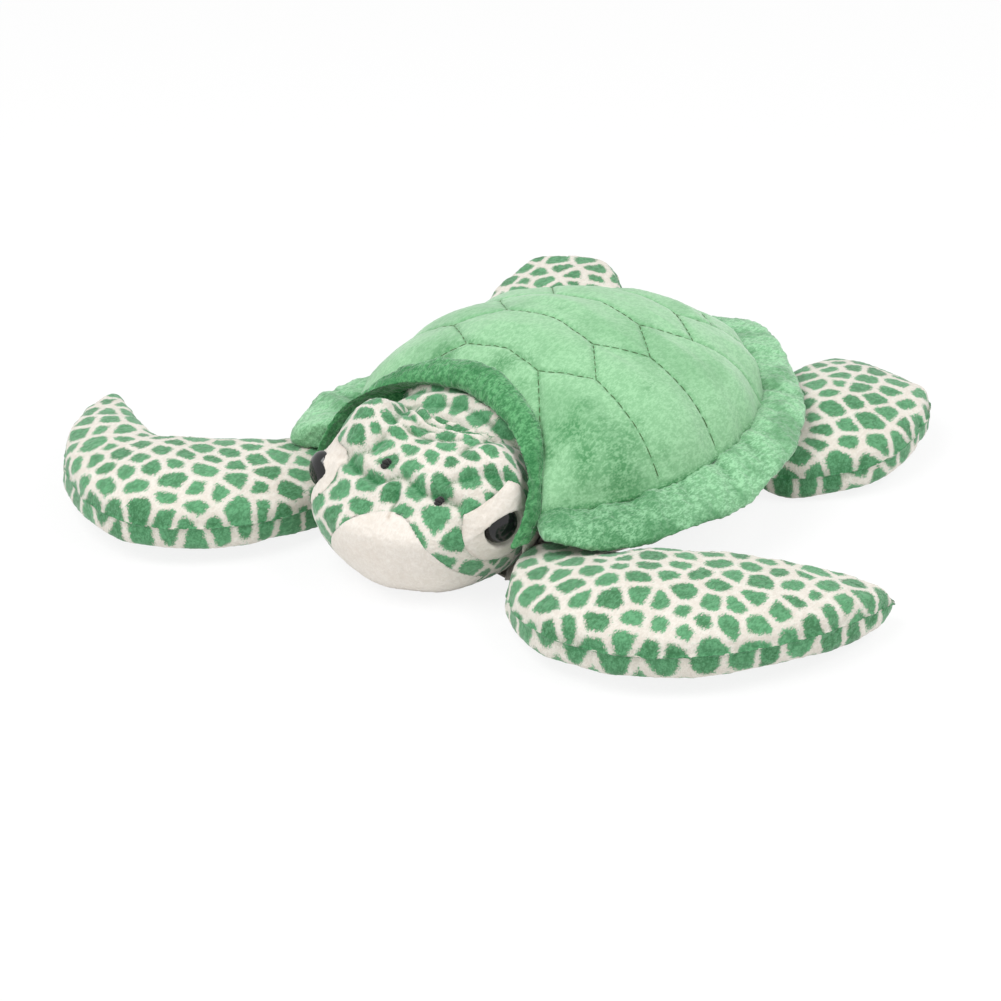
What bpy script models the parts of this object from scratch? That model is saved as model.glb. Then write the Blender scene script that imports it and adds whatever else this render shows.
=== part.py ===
"""Plush sea turtle: a quilted shell over a stuffed body, a head on a stuffed neck, four flippers.

Metres, +Z up. The head looks along -Y and the turtle's left is +X. The origin lies on the floor,
under the middle of the shell. Every skin is a sewn fabric sheet and every filling a solid of its own.
"""
import math

import bmesh
import bpy
from mathutils import Matrix, Vector

MM = 0.001

# Fabric and the gaps between pieces
SKIN = 1.4 * MM
GAP = 0.35 * MM
FILL_GAP = 0.9 * MM
FLOOR_CUT = 0.5 * MM
OVERRUN = 20 * MM

# Shell and body
SHELL_FRONT = 92 * MM
SHELL_LENGTH = 196 * MM
DOME_WIDTH = 172 * MM
DOME_HEIGHT = 50 * MM
SEAM_HEIGHT = 39 * MM
FRONT_LEAN = 26 * MM
RIM_THICKNESS = 7.5 * MM
RIM_WIDTH_FRONT = 24 * MM
RIM_WIDTH_SIDE = 19 * MM
RIM_WIDTH_REAR = 28 * MM
RIM_DROP = 7 * MM
RIM_WAVE = 2.2 * MM

# Neck collar, a rolled hem that arches over the neck
COLLAR_INSET = 28 * MM
COLLAR_RISE = 45 * MM
COLLAR_FOOT_HEIGHT = 33 * MM
COLLAR_FOOT_FORWARD = 97 * MM
COLLAR_TOP_FORWARD = 62 * MM
COLLAR_THICKNESS = 13 * MM
COLLAR_DEPTH = 25 * MM

# Neck: everything round the neck turns about one centre
NECK_FORWARD = 64 * MM
NECK_HEIGHT = 33 * MM
NECK_RADIUS = 37.5 * MM
NECK_CORE_RADIUS = 18 * MM
NECK_BOSS_RADIUS = 6.5 * MM
NECK_UNDERSIDE = 12 * MM
NECK_HOLE_ANGLE = math.radians(47)

# Head, in its own frame: centre on the neck's axis, nose along -Y
HEAD_TURN = math.radians(5)
HEAD_REACH = 36 * MM
HEAD_HEIGHT = 33.5 * MM
HEAD_WIDTH = 106 * MM
HEAD_LENGTH = 100 * MM
HEAD_BACK = 36 * MM
HEAD_CROWN = 29 * MM
HEAD_CHIN = 39 * MM
HEAD_BROW = 5 * MM
HEAD_PLAY_SIDE = 10 * MM
HEAD_PLAY_BACK = 10 * MM
HEAD_PLAY_UP = 12 * MM
MUZZLE_HALF_WIDTH = 33 * MM
MUZZLE_RISE = 36 * MM
MUZZLE_BASE = 4 * MM
MUZZLE_BACK = 14 * MM
EYE_DIAMETER = 16 * MM
EYE_CROWN = 5 * MM
EYE_SHANK_DIAMETER = 4.4 * MM
EYE_SHANK_LENGTH = 8 * MM
# Where each eye sits on the squashed head: its bearing from the front, way in from the side, height
LEFT_EYE_PLACE = (math.radians(52), 19 * MM, 37 * MM)
RIGHT_EYE_PLACE = (math.radians(27), 23 * MM, 41 * MM)
EYE_PATCH_DIAMETER = 30 * MM
EYE_SEAT = 0.7 * MM
WASHER_SEAT = 0.9 * MM
WASHER_DIAMETER = 13 * MM
WASHER_THICKNESS = 1.4 * MM
NOSTRIL_DIAMETER = 4.4 * MM
NOSTRIL_SPACING = 32 * MM
NOSTRIL_FORWARD = 20 * MM
NOSTRIL_PROUD = 0.8 * MM
# How far the muzzle and the nostrils sit to the left of the head's middle
FACE_SHIFT = 7 * MM

# Pellet pouch in the belly
POUCH_LENGTH = 96 * MM
POUCH_WIDTH = 82 * MM
POUCH_THICKNESS = 15 * MM
POUCH_BACK = 12 * MM

# Front flippers
FRONT_ROOT_INSET = 19 * MM
FRONT_ROOT_FORWARD = 85 * MM
FRONT_SEAM_ANGLE = math.radians(42)
FRONT_ROOT_CHORD = 40 * MM
FRONT_REACH = 140 * MM
FRONT_SHOULDER = 40 * MM
FRONT_ELBOW = 78 * MM
FRONT_CHORD = 88 * MM
FRONT_THICKNESS = 34 * MM
FRONT_ROOT_RADIUS = 11 * MM
FRONT_ROOT_HEIGHT = 15 * MM

# Rear flippers
REAR_ROOT_INSET = 18 * MM
REAR_ROOT_BACK = 56 * MM
REAR_SEAM_ANGLE = math.radians(128)
REAR_ROOT_CHORD = 44 * MM
REAR_REACH = 98 * MM
REAR_SHOULDER = 34 * MM
REAR_ELBOW = 62 * MM
REAR_CHORD = 80 * MM
REAR_THICKNESS = 30 * MM
REAR_ROOT_RADIUS = 11 * MM
REAR_ROOT_HEIGHT = 12 * MM

# How far each flipper swings down and up about its seam
FLIPPER_DROOP = math.radians(35)
FLIPPER_LIFT = math.radians(10)
FLIPPER_SWELL_ANGLE = math.radians(18)

# How wide each flipper's stations are: plain, narrow, square and round towards the tip
PLAIN_TIP_SHARES = (1.0, 1.0, 1.0, 1.0, 1.0, 1.0)
NARROW_TIP_SHARES = (1.0, 1.0, 1.0, 0.80, 0.74, 1.0)
SQUARE_TIP_SHARES = (1.0, 1.0, 1.0, 1.3, 2.3, 9.0)
ROUND_TIP_SHARES = (1.0, 1.0, 1.0, 1.1, 1.7, 8.0)

# Where each flipper lies: its tip's bearing from +X, its elbow's bearing and share, the tip's lift
LEFT_FRONT_POSE = (math.radians(32), math.radians(-10), 1.0, 10 * MM, PLAIN_TIP_SHARES)
RIGHT_FRONT_POSE = (math.radians(-9), math.radians(-81), 2.02, 14 * MM, NARROW_TIP_SHARES)
LEFT_REAR_POSE = (math.radians(90), math.radians(96), 0.95, 14 * MM, SQUARE_TIP_SHARES)
RIGHT_REAR_POSE = (math.radians(54), math.radians(58), 1.0, 29 * MM, ROUND_TIP_SHARES)

# Shell stations from front to rear: shares of its length, half width and height
DOME_STATION_SHARES = (
    (0.00, 0.70, 0.66),
    (0.11, 0.87, 0.84),
    (0.27, 0.99, 0.96),
    (0.45, 1.00, 1.00),
    (0.62, 0.92, 0.90),
    (0.78, 0.72, 0.68),
    (0.91, 0.42, 0.36),
    (1.00, 0.00, 0.00),
)
# Belly section from the seam to the middle: shares of the half width and of the seam's height
BELLY_SECTION_SHARES = ((1.00, 1.00), (1.01, 0.62), (0.90, 0.16), (0.62, 0.0), (0.0, 0.0))
ARCH_STEPS = 6
ARCH_FULLNESS_SHARE = 1.0
# Section of the rim: shares of its width outwards and of its half thickness upwards
RIM_SECTION_SHARES = (
    (0.0, -0.9), (0.35, -1.0), (0.75, -1.0), (0.97, -0.6), (1.0, 0.15), (0.88, 0.85), (0.45, 1.0),
    (0.0, 0.7),
)

# Flipper stations along its length: shares of the length, leading and trailing half chord, thickness
FLIPPER_STATION_SHARES = (
    (0.16, 0.80, 0.58, 0.84),
    (0.36, 1.04, 0.86, 1.00),
    (0.58, 1.02, 0.94, 0.98),
    (0.80, 0.74, 0.72, 0.78),
    (0.95, 0.32, 0.34, 0.42),
    (1.00, 0.05, 0.05, 0.06),
)
FLIPPER_CHORD_SHARES = (-1.0, -0.72, 0.0, 0.72, 1.0)
FLIPPER_SEAM_SHARE = 0.42

HEAD_FULLNESS_SHARE = 0.86
HEAD_SLOPE_SHARE = 0.72
NOSTRIL_SLANT_SHARE = 0.5
HEAD_SEGMENTS = 12
HEAD_RINGS = 8
BALL_SEGMENTS = 20
BALL_RINGS = 12
CUT_SEGMENTS = 24
TURNED_STEPS = 16
RIM_STATIONS = 38
COLLAR_STATIONS = 16
ROOT_ROOM_STEPS = 9

GREEN_DOME = (0.22, 0.50, 0.29, 1.0)
GREEN_PLUSH = (0.17, 0.42, 0.23, 1.0)
SPOTTED_PLUSH = (0.42, 0.62, 0.44, 1.0)
CREAM_PLUSH = (0.83, 0.78, 0.70, 1.0)
EYE_BLACK = (0.01, 0.01, 0.012, 1.0)
THREAD_BLACK = (0.03, 0.03, 0.03, 1.0)
WASHER_WHITE = (0.75, 0.75, 0.72, 1.0)
STUFFING_WHITE = (0.9, 0.9, 0.88, 1.0)
POUCH_GREY = (0.55, 0.55, 0.55, 1.0)

NECK_CENTRE = Vector((0.0, -NECK_FORWARD, NECK_HEIGHT))
UP = Vector((0.0, 0.0, 1.0))


def clear_scene():
    """Empties the scene of whatever it was opened with."""
    for old in list(bpy.data.objects):
        bpy.data.objects.remove(old)


def new_collection(name):
    """A collection under the scene's own."""
    collection = bpy.data.collections.new(name)
    bpy.context.scene.collection.children.link(collection)
    return collection


def new_material(name, colour, roughness):
    """A Principled material of one colour."""
    material = bpy.data.materials.new(name)
    material.use_nodes = True
    shader = material.node_tree.nodes["Principled BSDF"]
    shader.inputs["Base Color"].default_value = colour
    shader.inputs["Roughness"].default_value = roughness
    shader.inputs["Metallic"].default_value = 0.0
    return material


def add_object(name, mesh, collection, material=None, cutter=False):
    """Links a mesh as an object, a cutter as a wire that is never rendered."""
    mesh.shade_smooth()
    thing = bpy.data.objects.new(name, mesh)
    collection.objects.link(thing)
    if material:
        mesh.materials.append(material)
    if cutter:
        thing.hide_render = True
        thing.display_type = "WIRE"
    return thing


def mesh_from(build, name):
    """A mesh made by a function that fills a bmesh, with its faces turned outwards."""
    sheet = bmesh.new()
    build(sheet)
    bmesh.ops.recalc_face_normals(sheet, faces=sheet.faces)
    if sheet.calc_volume(signed=True) < 0:
        bmesh.ops.reverse_faces(sheet, faces=sheet.faces)
    mesh = bpy.data.meshes.new(name)
    sheet.to_mesh(mesh)
    sheet.free()
    return mesh


def subdivide(thing, levels=1):
    """Smooths a coarse cage and keeps the corners of an open one."""
    smooth = thing.modifiers.new("Smooth", "SUBSURF")
    smooth.levels = levels
    smooth.render_levels = levels
    smooth.boundary_smooth = "PRESERVE_CORNERS"


def thicken(thing, thickness):
    """Gives a sheet its thickness, on the side away from its normals."""
    fabric = thing.modifiers.new("Fabric", "SOLIDIFY")
    fabric.thickness = thickness
    fabric.offset = -1.0
    fabric.use_even_offset = True


def combine(thing, other, operation):
    """Cuts, joins or keeps the overlap with another object."""
    step = thing.modifiers.new(other.name, "BOOLEAN")
    step.operation = operation
    step.solver = "EXACT"
    step.object = other


def fill_grid(sheet, rows):
    """An open grid through rows of points, its coinciding points merged."""
    grid = [[sheet.verts.new(place) for place in row] for row in rows]
    for row, following in zip(grid, grid[1:]):
        for step in range(len(row) - 1):
            sheet.faces.new((row[step], row[step + 1], following[step + 1], following[step]))
    bmesh.ops.remove_doubles(sheet, verts=sheet.verts, dist=GAP / 10)


def ring_area(ring):
    """The area that a ring of points spans, which is nothing where it is pressed flat."""
    spanned = Vector()
    for place, following in zip(ring, ring[1:] + ring[:1]):
        spanned += (place - ring[0]).cross(following - ring[0]) / 2
    return spanned.length


def fill_loft(sheet, rings, sharp_columns=(), strip_ends=False):
    """A closed loft through rings of points, with a face over an end that isn't a point.

    Where columns are sharp, so is the first end, and smoothing keeps both as they are. A ring that
    runs out along one side of a fabric and back along the other is closed by a strip.
    """
    loops = [[sheet.verts.new(place) for place in ring] for ring in rings]
    for ring, following in zip(loops, loops[1:]):
        for step in range(len(ring)):
            after = (step + 1) % len(ring)
            sheet.faces.new((ring[step], ring[after], following[after], following[step]))
    for ring, loop in ((rings[0], loops[0]), (rings[-1], loops[-1])):
        if strip_ends:
            for step in range(len(loop) // 2 - 1):
                sheet.faces.new((loop[step], loop[step + 1], loop[-2 - step], loop[-1 - step]))
        elif ring_area(ring) > GAP ** 2:
            sheet.faces.new(loop)
    if sharp_columns:
        crease = sheet.edges.layers.float.new("crease_edge")
        lines = [loops[0] + loops[0][:1]]
        lines += [[loop[column] for loop in loops] for column in sharp_columns]
        for line in lines:
            for start, end in zip(line, line[1:]):
                sheet.edges.get((start, end))[crease] = 1.0
    bmesh.ops.remove_doubles(sheet, verts=sheet.verts, dist=GAP / 10)


def ball(name, centre, radius, collection, material=None, cutter=False):
    """A round ball."""
    def build(sheet):
        place = Matrix.Translation(centre)
        bmesh.ops.create_uvsphere(
            sheet, u_segments=BALL_SEGMENTS, v_segments=BALL_RINGS, radius=radius, matrix=place)
    return add_object(name, mesh_from(build, name), collection, material, cutter)


def along(axis, place):
    """The matrix that turns +Z to an axis and moves it to a place."""
    return Matrix.Translation(place) @ UP.rotation_difference(axis).to_matrix().to_4x4()


def rod(name, start, end, radius, collection, material=None, cutter=False, end_radius=None):
    """A cylinder, or a cone where the radii differ, between two points."""
    start, end = Vector(start), Vector(end)
    far_radius = radius if end_radius is None else end_radius

    def build(sheet):
        bmesh.ops.create_cone(
            sheet, cap_ends=True, segments=CUT_SEGMENTS, radius1=radius, radius2=far_radius,
            depth=(end - start).length, matrix=along(end - start, (start + end) / 2))
    return add_object(name, mesh_from(build, name), collection, material, cutter)


def level_block(name, top, depth, collection):
    """A level block below a height, wider than the whole toy."""
    reach = 2 * (SHELL_LENGTH + FRONT_REACH)

    def build(sheet):
        size = Matrix.Diagonal((reach, reach, depth, 1.0))
        place = Matrix.Translation((0, 0, top - depth / 2))
        bmesh.ops.create_cube(sheet, size=1.0, matrix=place @ size)
    return add_object(name, mesh_from(build, name), collection, cutter=True)


def dome_arch(station, swell):
    """One arch of the shell from its left seam to its right seam, swollen or shrunk."""
    length_share, width_share, height_share = station
    half_width = DOME_WIDTH / 2 * width_share
    height = DOME_HEIGHT * height_share
    if width_share > 0:
        half_width += swell
        height += swell
    lean = FRONT_LEAN * max(0.0, 1 - length_share / DOME_STATION_SHARES[2][0])
    end_swell = swell * (2 * length_share - 1)
    arch = []
    for step in range(ARCH_STEPS + 1):
        angle = math.pi * step / ARCH_STEPS
        side = math.copysign(abs(math.cos(angle)) ** ARCH_FULLNESS_SHARE, math.cos(angle))
        rise = math.sin(angle) ** ARCH_FULLNESS_SHARE if 0 < step < ARCH_STEPS else 0.0
        arch.append(Vector((
            half_width * side,
            -SHELL_FRONT + SHELL_LENGTH * length_share + lean * rise + end_swell,
            SEAM_HEIGHT + height * rise)))
    return arch


def belly_curve(station, swell):
    """The underside below one arch, from the left seam under the belly to the right seam."""
    length_share, width_share, _ = station
    half_width = DOME_WIDTH / 2 * width_share
    if width_share > 0:
        half_width += swell
    depth = SEAM_HEIGHT + FLOOR_CUT + swell
    end_swell = swell * (2 * length_share - 1)
    left = []
    for side_share, height_share in BELLY_SECTION_SHARES:
        level = SEAM_HEIGHT - depth * (1 - height_share)
        if width_share == 0:
            level = SEAM_HEIGHT
        pull = (1 - height_share) * SHELL_LENGTH * (0.5 - length_share) / 8
        left.append(Vector((
            half_width * side_share,
            -SHELL_FRONT + SHELL_LENGTH * length_share + end_swell + pull * (length_share > 0),
            level)))
    right = [Vector((-place.x, place.y, place.z)) for place in reversed(left[:-1])]
    return left + right


def body_form(name, swell, collection, material=None, cutter=False):
    """The whole body, shell and belly in one, swollen or shrunk."""
    rings = []
    for station in DOME_STATION_SHARES:
        arch = dome_arch(station, swell)
        under = belly_curve(station, swell)
        rings.append(arch + list(reversed(under[1:-1])))
    seams = (0, ARCH_STEPS)
    form = add_object(name, mesh_from(lambda sheet: fill_loft(sheet, rings, seams), name),
                      collection, material, cutter)
    subdivide(form)
    return form


def seam_place(turn_share):
    """A point of the shell's seam, at a share of the way from its left front round to its right."""
    last = len(DOME_STATION_SHARES) - 1
    run = 2 * last * turn_share
    side = 1.0 if run <= last else -1.0
    run = run if run <= last else 2 * last - run
    index = min(int(run), last - 1)
    blend = run - index
    near, far = DOME_STATION_SHARES[index], DOME_STATION_SHARES[index + 1]
    before = DOME_STATION_SHARES[max(index - 1, 0)]
    after = DOME_STATION_SHARES[min(index + 2, last)]

    def smooth(column):
        a, b, c, d = before[column], near[column], far[column], after[column]
        return b + blend * ((c - a) + blend * (2 * a - 5 * b + 4 * c - d
                                               + blend * (3 * (b - c) + d - a))) / 2
    width = max(smooth(1), 0.0) * DOME_WIDTH / 2
    return Vector((side * width, -SHELL_FRONT + SHELL_LENGTH * smooth(0), SEAM_HEIGHT))


def rim_form(name, swell, collection, material=None, cutter=False):
    """The padded skirt round the shell, open at the neck."""
    rings = []
    for step in range(RIM_STATIONS + 1):
        share = step / RIM_STATIONS
        place = seam_place(share)
        ahead = seam_place(min(share + 0.004, 1.0)) - seam_place(max(share - 0.004, 0.0))
        outward = Vector((ahead.y, -ahead.x, 0.0)).normalized()
        rear = 1 - abs(2 * share - 1)
        width = RIM_WIDTH_FRONT + (RIM_WIDTH_SIDE - RIM_WIDTH_FRONT) * min(1.0, rear * 3)
        width += (RIM_WIDTH_REAR - RIM_WIDTH_SIDE) * max(0.0, rear * 4 - 3) ** 2
        between_flippers = math.sin(math.pi * min(1.0, max(0.0, rear / 0.55 - 0.25) / 0.75)) ** 2
        drop = RIM_DROP * (0.15 + 0.85 * between_flippers)
        wave = RIM_WAVE * math.sin(9 * math.tau * share + 0.6)
        half = RIM_THICKNESS / 2 + swell
        ring = []
        for out_share, lift_share in RIM_SECTION_SHARES:
            fall = drop * out_share ** 1.5 - wave * out_share ** 2
            ring.append(place + outward * ((width + swell) * out_share - 2 * SKIN)
                        + UP * (half * lift_share - RIM_THICKNESS / 5 - fall))
        rings.append(ring)
    ends = (ends_pushed(rings[0], rings[1], swell), ends_pushed(rings[-1], rings[-2], swell))
    rings[0], rings[-1] = ends
    return add_object(name, mesh_from(lambda sheet: fill_loft(sheet, rings), name), collection,
                      material, cutter)


def ends_pushed(ring, neighbour, swell):
    """The last ring of a loft, moved outwards by a swelling."""
    away = (ring[0] - neighbour[0]).normalized() * swell
    return [place + away for place in ring]


def make_collar(parts, material, clearances):
    """The rolled hem that arches over the neck, wide and soft."""
    rings = []
    for step in range(COLLAR_STATIONS + 1):
        angle = math.pi * step / COLLAR_STATIONS
        rise = math.sin(angle)
        centre = Vector((
            (DOME_WIDTH / 2 - COLLAR_INSET) * math.cos(angle),
            -COLLAR_FOOT_FORWARD + (COLLAR_FOOT_FORWARD - COLLAR_TOP_FORWARD) * rise,
            COLLAR_FOOT_HEIGHT + COLLAR_RISE * rise))
        outward = Vector((math.cos(angle), 0.0, math.sin(angle)))
        end_share = 0.72 + 0.28 * min(1.0, 2 * rise)
        ring = []
        for part in range(10):
            turn = math.tau * part / 10
            ring.append(centre
                        + outward * (COLLAR_THICKNESS / 2 * end_share * math.cos(turn))
                        + Vector((0, 1, 0.25 * rise)) * (COLLAR_DEPTH / 2 * end_share * math.sin(turn)))
        rings.append(ring)
    collar = add_object(
        "neck_collar", mesh_from(lambda sheet: fill_loft(sheet, rings), "neck_collar"),
        parts, material)
    for clearance in clearances:
        combine(collar, clearance, "DIFFERENCE")
    return collar


def make_body(parts, cutters, looks, root_cuts, floor):
    """The shell's skin and rim, the belly, the stuffing and the pellet pouch."""
    dome_rows = [dome_arch(station, 0.0) for station in DOME_STATION_SHARES]
    dome = add_object("shell_dome", mesh_from(lambda sheet: fill_grid(sheet, dome_rows), "shell_dome"),
                      parts, looks["dome"])
    belly_rows = []
    for station in DOME_STATION_SHARES:
        belly_rows.append(belly_curve(station, 0.0))
    belly = add_object("belly_panel", mesh_from(lambda sheet: fill_grid(sheet, belly_rows),
                                                "belly_panel"), parts, looks["cream"])
    for sheet in (dome, belly):
        subdivide(sheet)
        thicken(sheet, SKIN)

    socket = ball("neck_socket", NECK_CENTRE, NECK_RADIUS + FILL_GAP, cutters, cutter=True)
    boss = rod("neck_boss", NECK_CENTRE, NECK_CENTRE + Vector((0, NECK_RADIUS + OVERRUN, 0)),
               NECK_BOSS_RADIUS, cutters, cutter=True)
    core_room = ball("neck_core_room", NECK_CENTRE, NECK_CORE_RADIUS + FILL_GAP, cutters, cutter=True)
    fill_socket = ball("fill_socket", NECK_CENTRE, NECK_RADIUS + FILL_GAP, cutters, cutter=True)
    combine(fill_socket, boss, "DIFFERENCE")
    combine(fill_socket, core_room, "UNION")
    under_neck = level_block("under_neck", SKIN + FILL_GAP, 2 * OVERRUN, cutters)
    combine(socket, under_neck, "DIFFERENCE")
    head_room = make_head_room(cutters)

    stuffing = body_form("body_stuffing", -(SKIN + FILL_GAP), parts, looks["stuffing"])
    combine(stuffing, fill_socket, "DIFFERENCE")
    for cut in root_cuts:
        combine(stuffing, cut, "DIFFERENCE")
        combine(belly, cut, "DIFFERENCE")
    for piece in (stuffing, belly, dome):
        combine(piece, head_room, "DIFFERENCE")
    below_seam = level_block("below_seam", SEAM_HEIGHT + SKIN / 2, SEAM_HEIGHT, cutters)
    above_seam = level_block("above_seam", SEAM_HEIGHT * 2, SEAM_HEIGHT + SKIN / 2, cutters)
    combine(belly, above_seam, "DIFFERENCE")
    combine(dome, below_seam, "DIFFERENCE")
    combine(belly, socket, "DIFFERENCE")
    combine(belly, floor, "DIFFERENCE")
    combine(dome, socket, "DIFFERENCE")

    room_for_pouch = pouch_form("pouch_room", FILL_GAP, cutters, cutter=True)
    combine(stuffing, room_for_pouch, "DIFFERENCE")
    pouch_form("pellet_pouch", 0.0, parts, looks["pouch"])

    clearance = body_form("body_clearance", GAP * 2, cutters, cutter=True)
    collar_clearance = body_form("collar_clearance", GAP * 3, cutters, cutter=True)
    rim = rim_form("shell_rim", 0.0, parts, looks["rim"])
    combine(rim, clearance, "DIFFERENCE")
    rim_room = rim_form("rim_room", GAP, cutters, cutter=True)
    make_collar(parts, looks["rim"], (rim_room, collar_clearance, socket, head_room))


def make_head_room(cutters):
    """The oval space between the shoulders in which the head turns and nods."""
    def build(sheet):
        size = Matrix.Diagonal((
            HEAD_WIDTH / 2 + HEAD_PLAY_SIDE, HEAD_BACK + HEAD_PLAY_BACK,
            (HEAD_CROWN + HEAD_CHIN) / 2 + HEAD_PLAY_UP, 1.0))
        place = Matrix.Translation(NECK_CENTRE - Vector((0, HEAD_REACH, 0)))
        bmesh.ops.create_uvsphere(
            sheet, u_segments=BALL_SEGMENTS, v_segments=BALL_RINGS, radius=1.0, matrix=place @ size)
    return add_object("head_room", mesh_from(build, "head_room"), cutters, cutter=True)


def pouch_form(name, swell, collection, material=None, cutter=False):
    """The pillow of pellets that lies on the belly's fabric."""
    def build(sheet):
        middle = SKIN + FILL_GAP + POUCH_THICKNESS / 2
        size = Matrix.Diagonal((
            POUCH_WIDTH / 2 + swell, POUCH_LENGTH / 2 + swell, POUCH_THICKNESS / 2 + swell, 1.0))
        place = Matrix.Translation((0, POUCH_BACK, middle))
        bmesh.ops.create_uvsphere(
            sheet, u_segments=BALL_SEGMENTS // 2 + 2, v_segments=BALL_RINGS // 2, radius=1.0,
            matrix=place @ size)
    return add_object(name, mesh_from(build, name), collection, material, cutter)


def head_frame():
    """The head's frame: its origin is the neck's centre and it looks along -Y."""
    return Matrix.Translation(NECK_CENTRE) @ Matrix.Rotation(HEAD_TURN, 4, "Z")


def head_cage(name, shrink, collection, material=None, cutter=False):
    """The head's own swelling form without the neck, in the neck's frame."""
    def build(sheet):
        turn = Matrix.Rotation(math.pi / 2, 4, "X")
        bmesh.ops.create_uvsphere(
            sheet, u_segments=HEAD_SEGMENTS, v_segments=HEAD_RINGS, radius=1.0, matrix=turn)
        for corner in sheet.verts:
            x, y, z = corner.co
            side = math.copysign(abs(x) ** HEAD_FULLNESS_SHARE, x)
            front = math.copysign(abs(y) ** HEAD_FULLNESS_SHARE, y)
            half_length = (HEAD_BACK if y > 0 else HEAD_LENGTH / 2) - shrink
            half_height = HEAD_CHIN - shrink
            if z > 0:
                half_height = (HEAD_CROWN - shrink) * (1 - HEAD_SLOPE_SHARE * max(0.0, -y))
            rise = math.copysign(abs(z) ** HEAD_FULLNESS_SHARE, z)
            brow = HEAD_BROW * max(0.0, z) * min(1.0, 2.2 * abs(x)) * max(0.0, 0.9 - abs(y))
            narrow = 1 - 0.10 * max(0.0, -z) - 0.10 * max(0.0, -y)
            corner.co = Vector((
                (HEAD_WIDTH / 2 - shrink) * side * narrow,
                -HEAD_REACH + half_length * front,
                HEAD_HEIGHT - NECK_HEIGHT + half_height * rise + brow))
        bmesh.ops.transform(sheet, matrix=head_frame(), verts=sheet.verts)
    form = add_object(name, mesh_from(build, name), collection, material, cutter)
    subdivide(form)
    return form


def join_neck(form, shrink, cutters):
    """Joins the round neck, flat underneath, to a head form."""
    neck = ball(form.name + "_neck", NECK_CENTRE, NECK_RADIUS - shrink, cutters, cutter=True)
    under = level_block(form.name + "_neck_floor", NECK_UNDERSIDE + shrink, 2 * OVERRUN, cutters)
    combine(neck, under, "DIFFERENCE")
    combine(form, neck, "UNION")


def eye_axis(side, surface):
    """Where an eye sits on the head's surface, and the outward direction of its shank."""
    frame = head_frame()
    bearing, inset, height = LEFT_EYE_PLACE if side > 0 else RIGHT_EYE_PLACE
    ahead = frame.to_3x3() @ Vector((side * math.sin(bearing), -math.cos(bearing), 0.0))
    start = frame @ Vector((side * (HEAD_WIDTH / 2 - inset), -HEAD_REACH, height - NECK_HEIGHT))
    place, normal = surface(start, ahead)
    return place, (normal + ahead).normalized()


def surface_of(form):
    """A function that finds where a ray from inside meets a form's outer surface."""
    graph = bpy.context.evaluated_depsgraph_get()
    evaluated = form.evaluated_get(graph)

    def find(start, direction):
        hit, place, normal, _ = evaluated.ray_cast(start, direction)
        if not hit:
            raise RuntimeError("a ray from inside missed " + form.name)
        return place.copy(), normal.copy()
    return find


def turned(name, profile, frame, collection, material, closed=False):
    """A turned piece: a profile of radius and height spun about its frame's axis."""
    sheet = bmesh.new()
    corners = [sheet.verts.new((radius, 0.0, height)) for radius, height in profile]
    following = corners[1:] + (corners[:1] if closed else [])
    for start, end in zip(corners, following):
        sheet.edges.new((start, end))
    mesh = bpy.data.meshes.new(name)
    sheet.to_mesh(mesh)
    sheet.free()
    piece = add_object(name, mesh, collection, material)
    piece.matrix_world = frame
    spin = piece.modifiers.new("Turn", "SCREW")
    spin.steps = TURNED_STEPS
    spin.render_steps = TURNED_STEPS
    spin.use_merge_vertices = True
    spin.merge_threshold = GAP / 10
    return piece


def make_eye(tag, frame, parts, looks):
    """One safety eye: a domed head with its shank, and the washer that grips it inside."""
    radius = EYE_DIAMETER / 2
    shank = EYE_SHANK_DIAMETER / 2
    seat = EYE_SEAT
    steps = 6
    crown = []
    for step in range(steps + 1):
        angle = math.pi / 2 * (1 - step / steps)
        crown.append((radius * math.cos(angle), seat + EYE_CROWN * math.sin(angle)))
    profile = crown + [(shank, seat), (shank, seat - EYE_SHANK_LENGTH), (0.0, seat - EYE_SHANK_LENGTH)]
    turned("eye_" + tag, profile, frame, parts, looks["eye"])
    under = -(SKIN + WASHER_SEAT)
    bore = shank + GAP
    outer = WASHER_DIAMETER / 2
    ring = [(bore, under), (outer, under), (outer, under - WASHER_THICKNESS),
            (bore, under - WASHER_THICKNESS)]
    turned("eye_washer_" + tag, ring, frame, parts, looks["washer"], closed=True)


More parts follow.
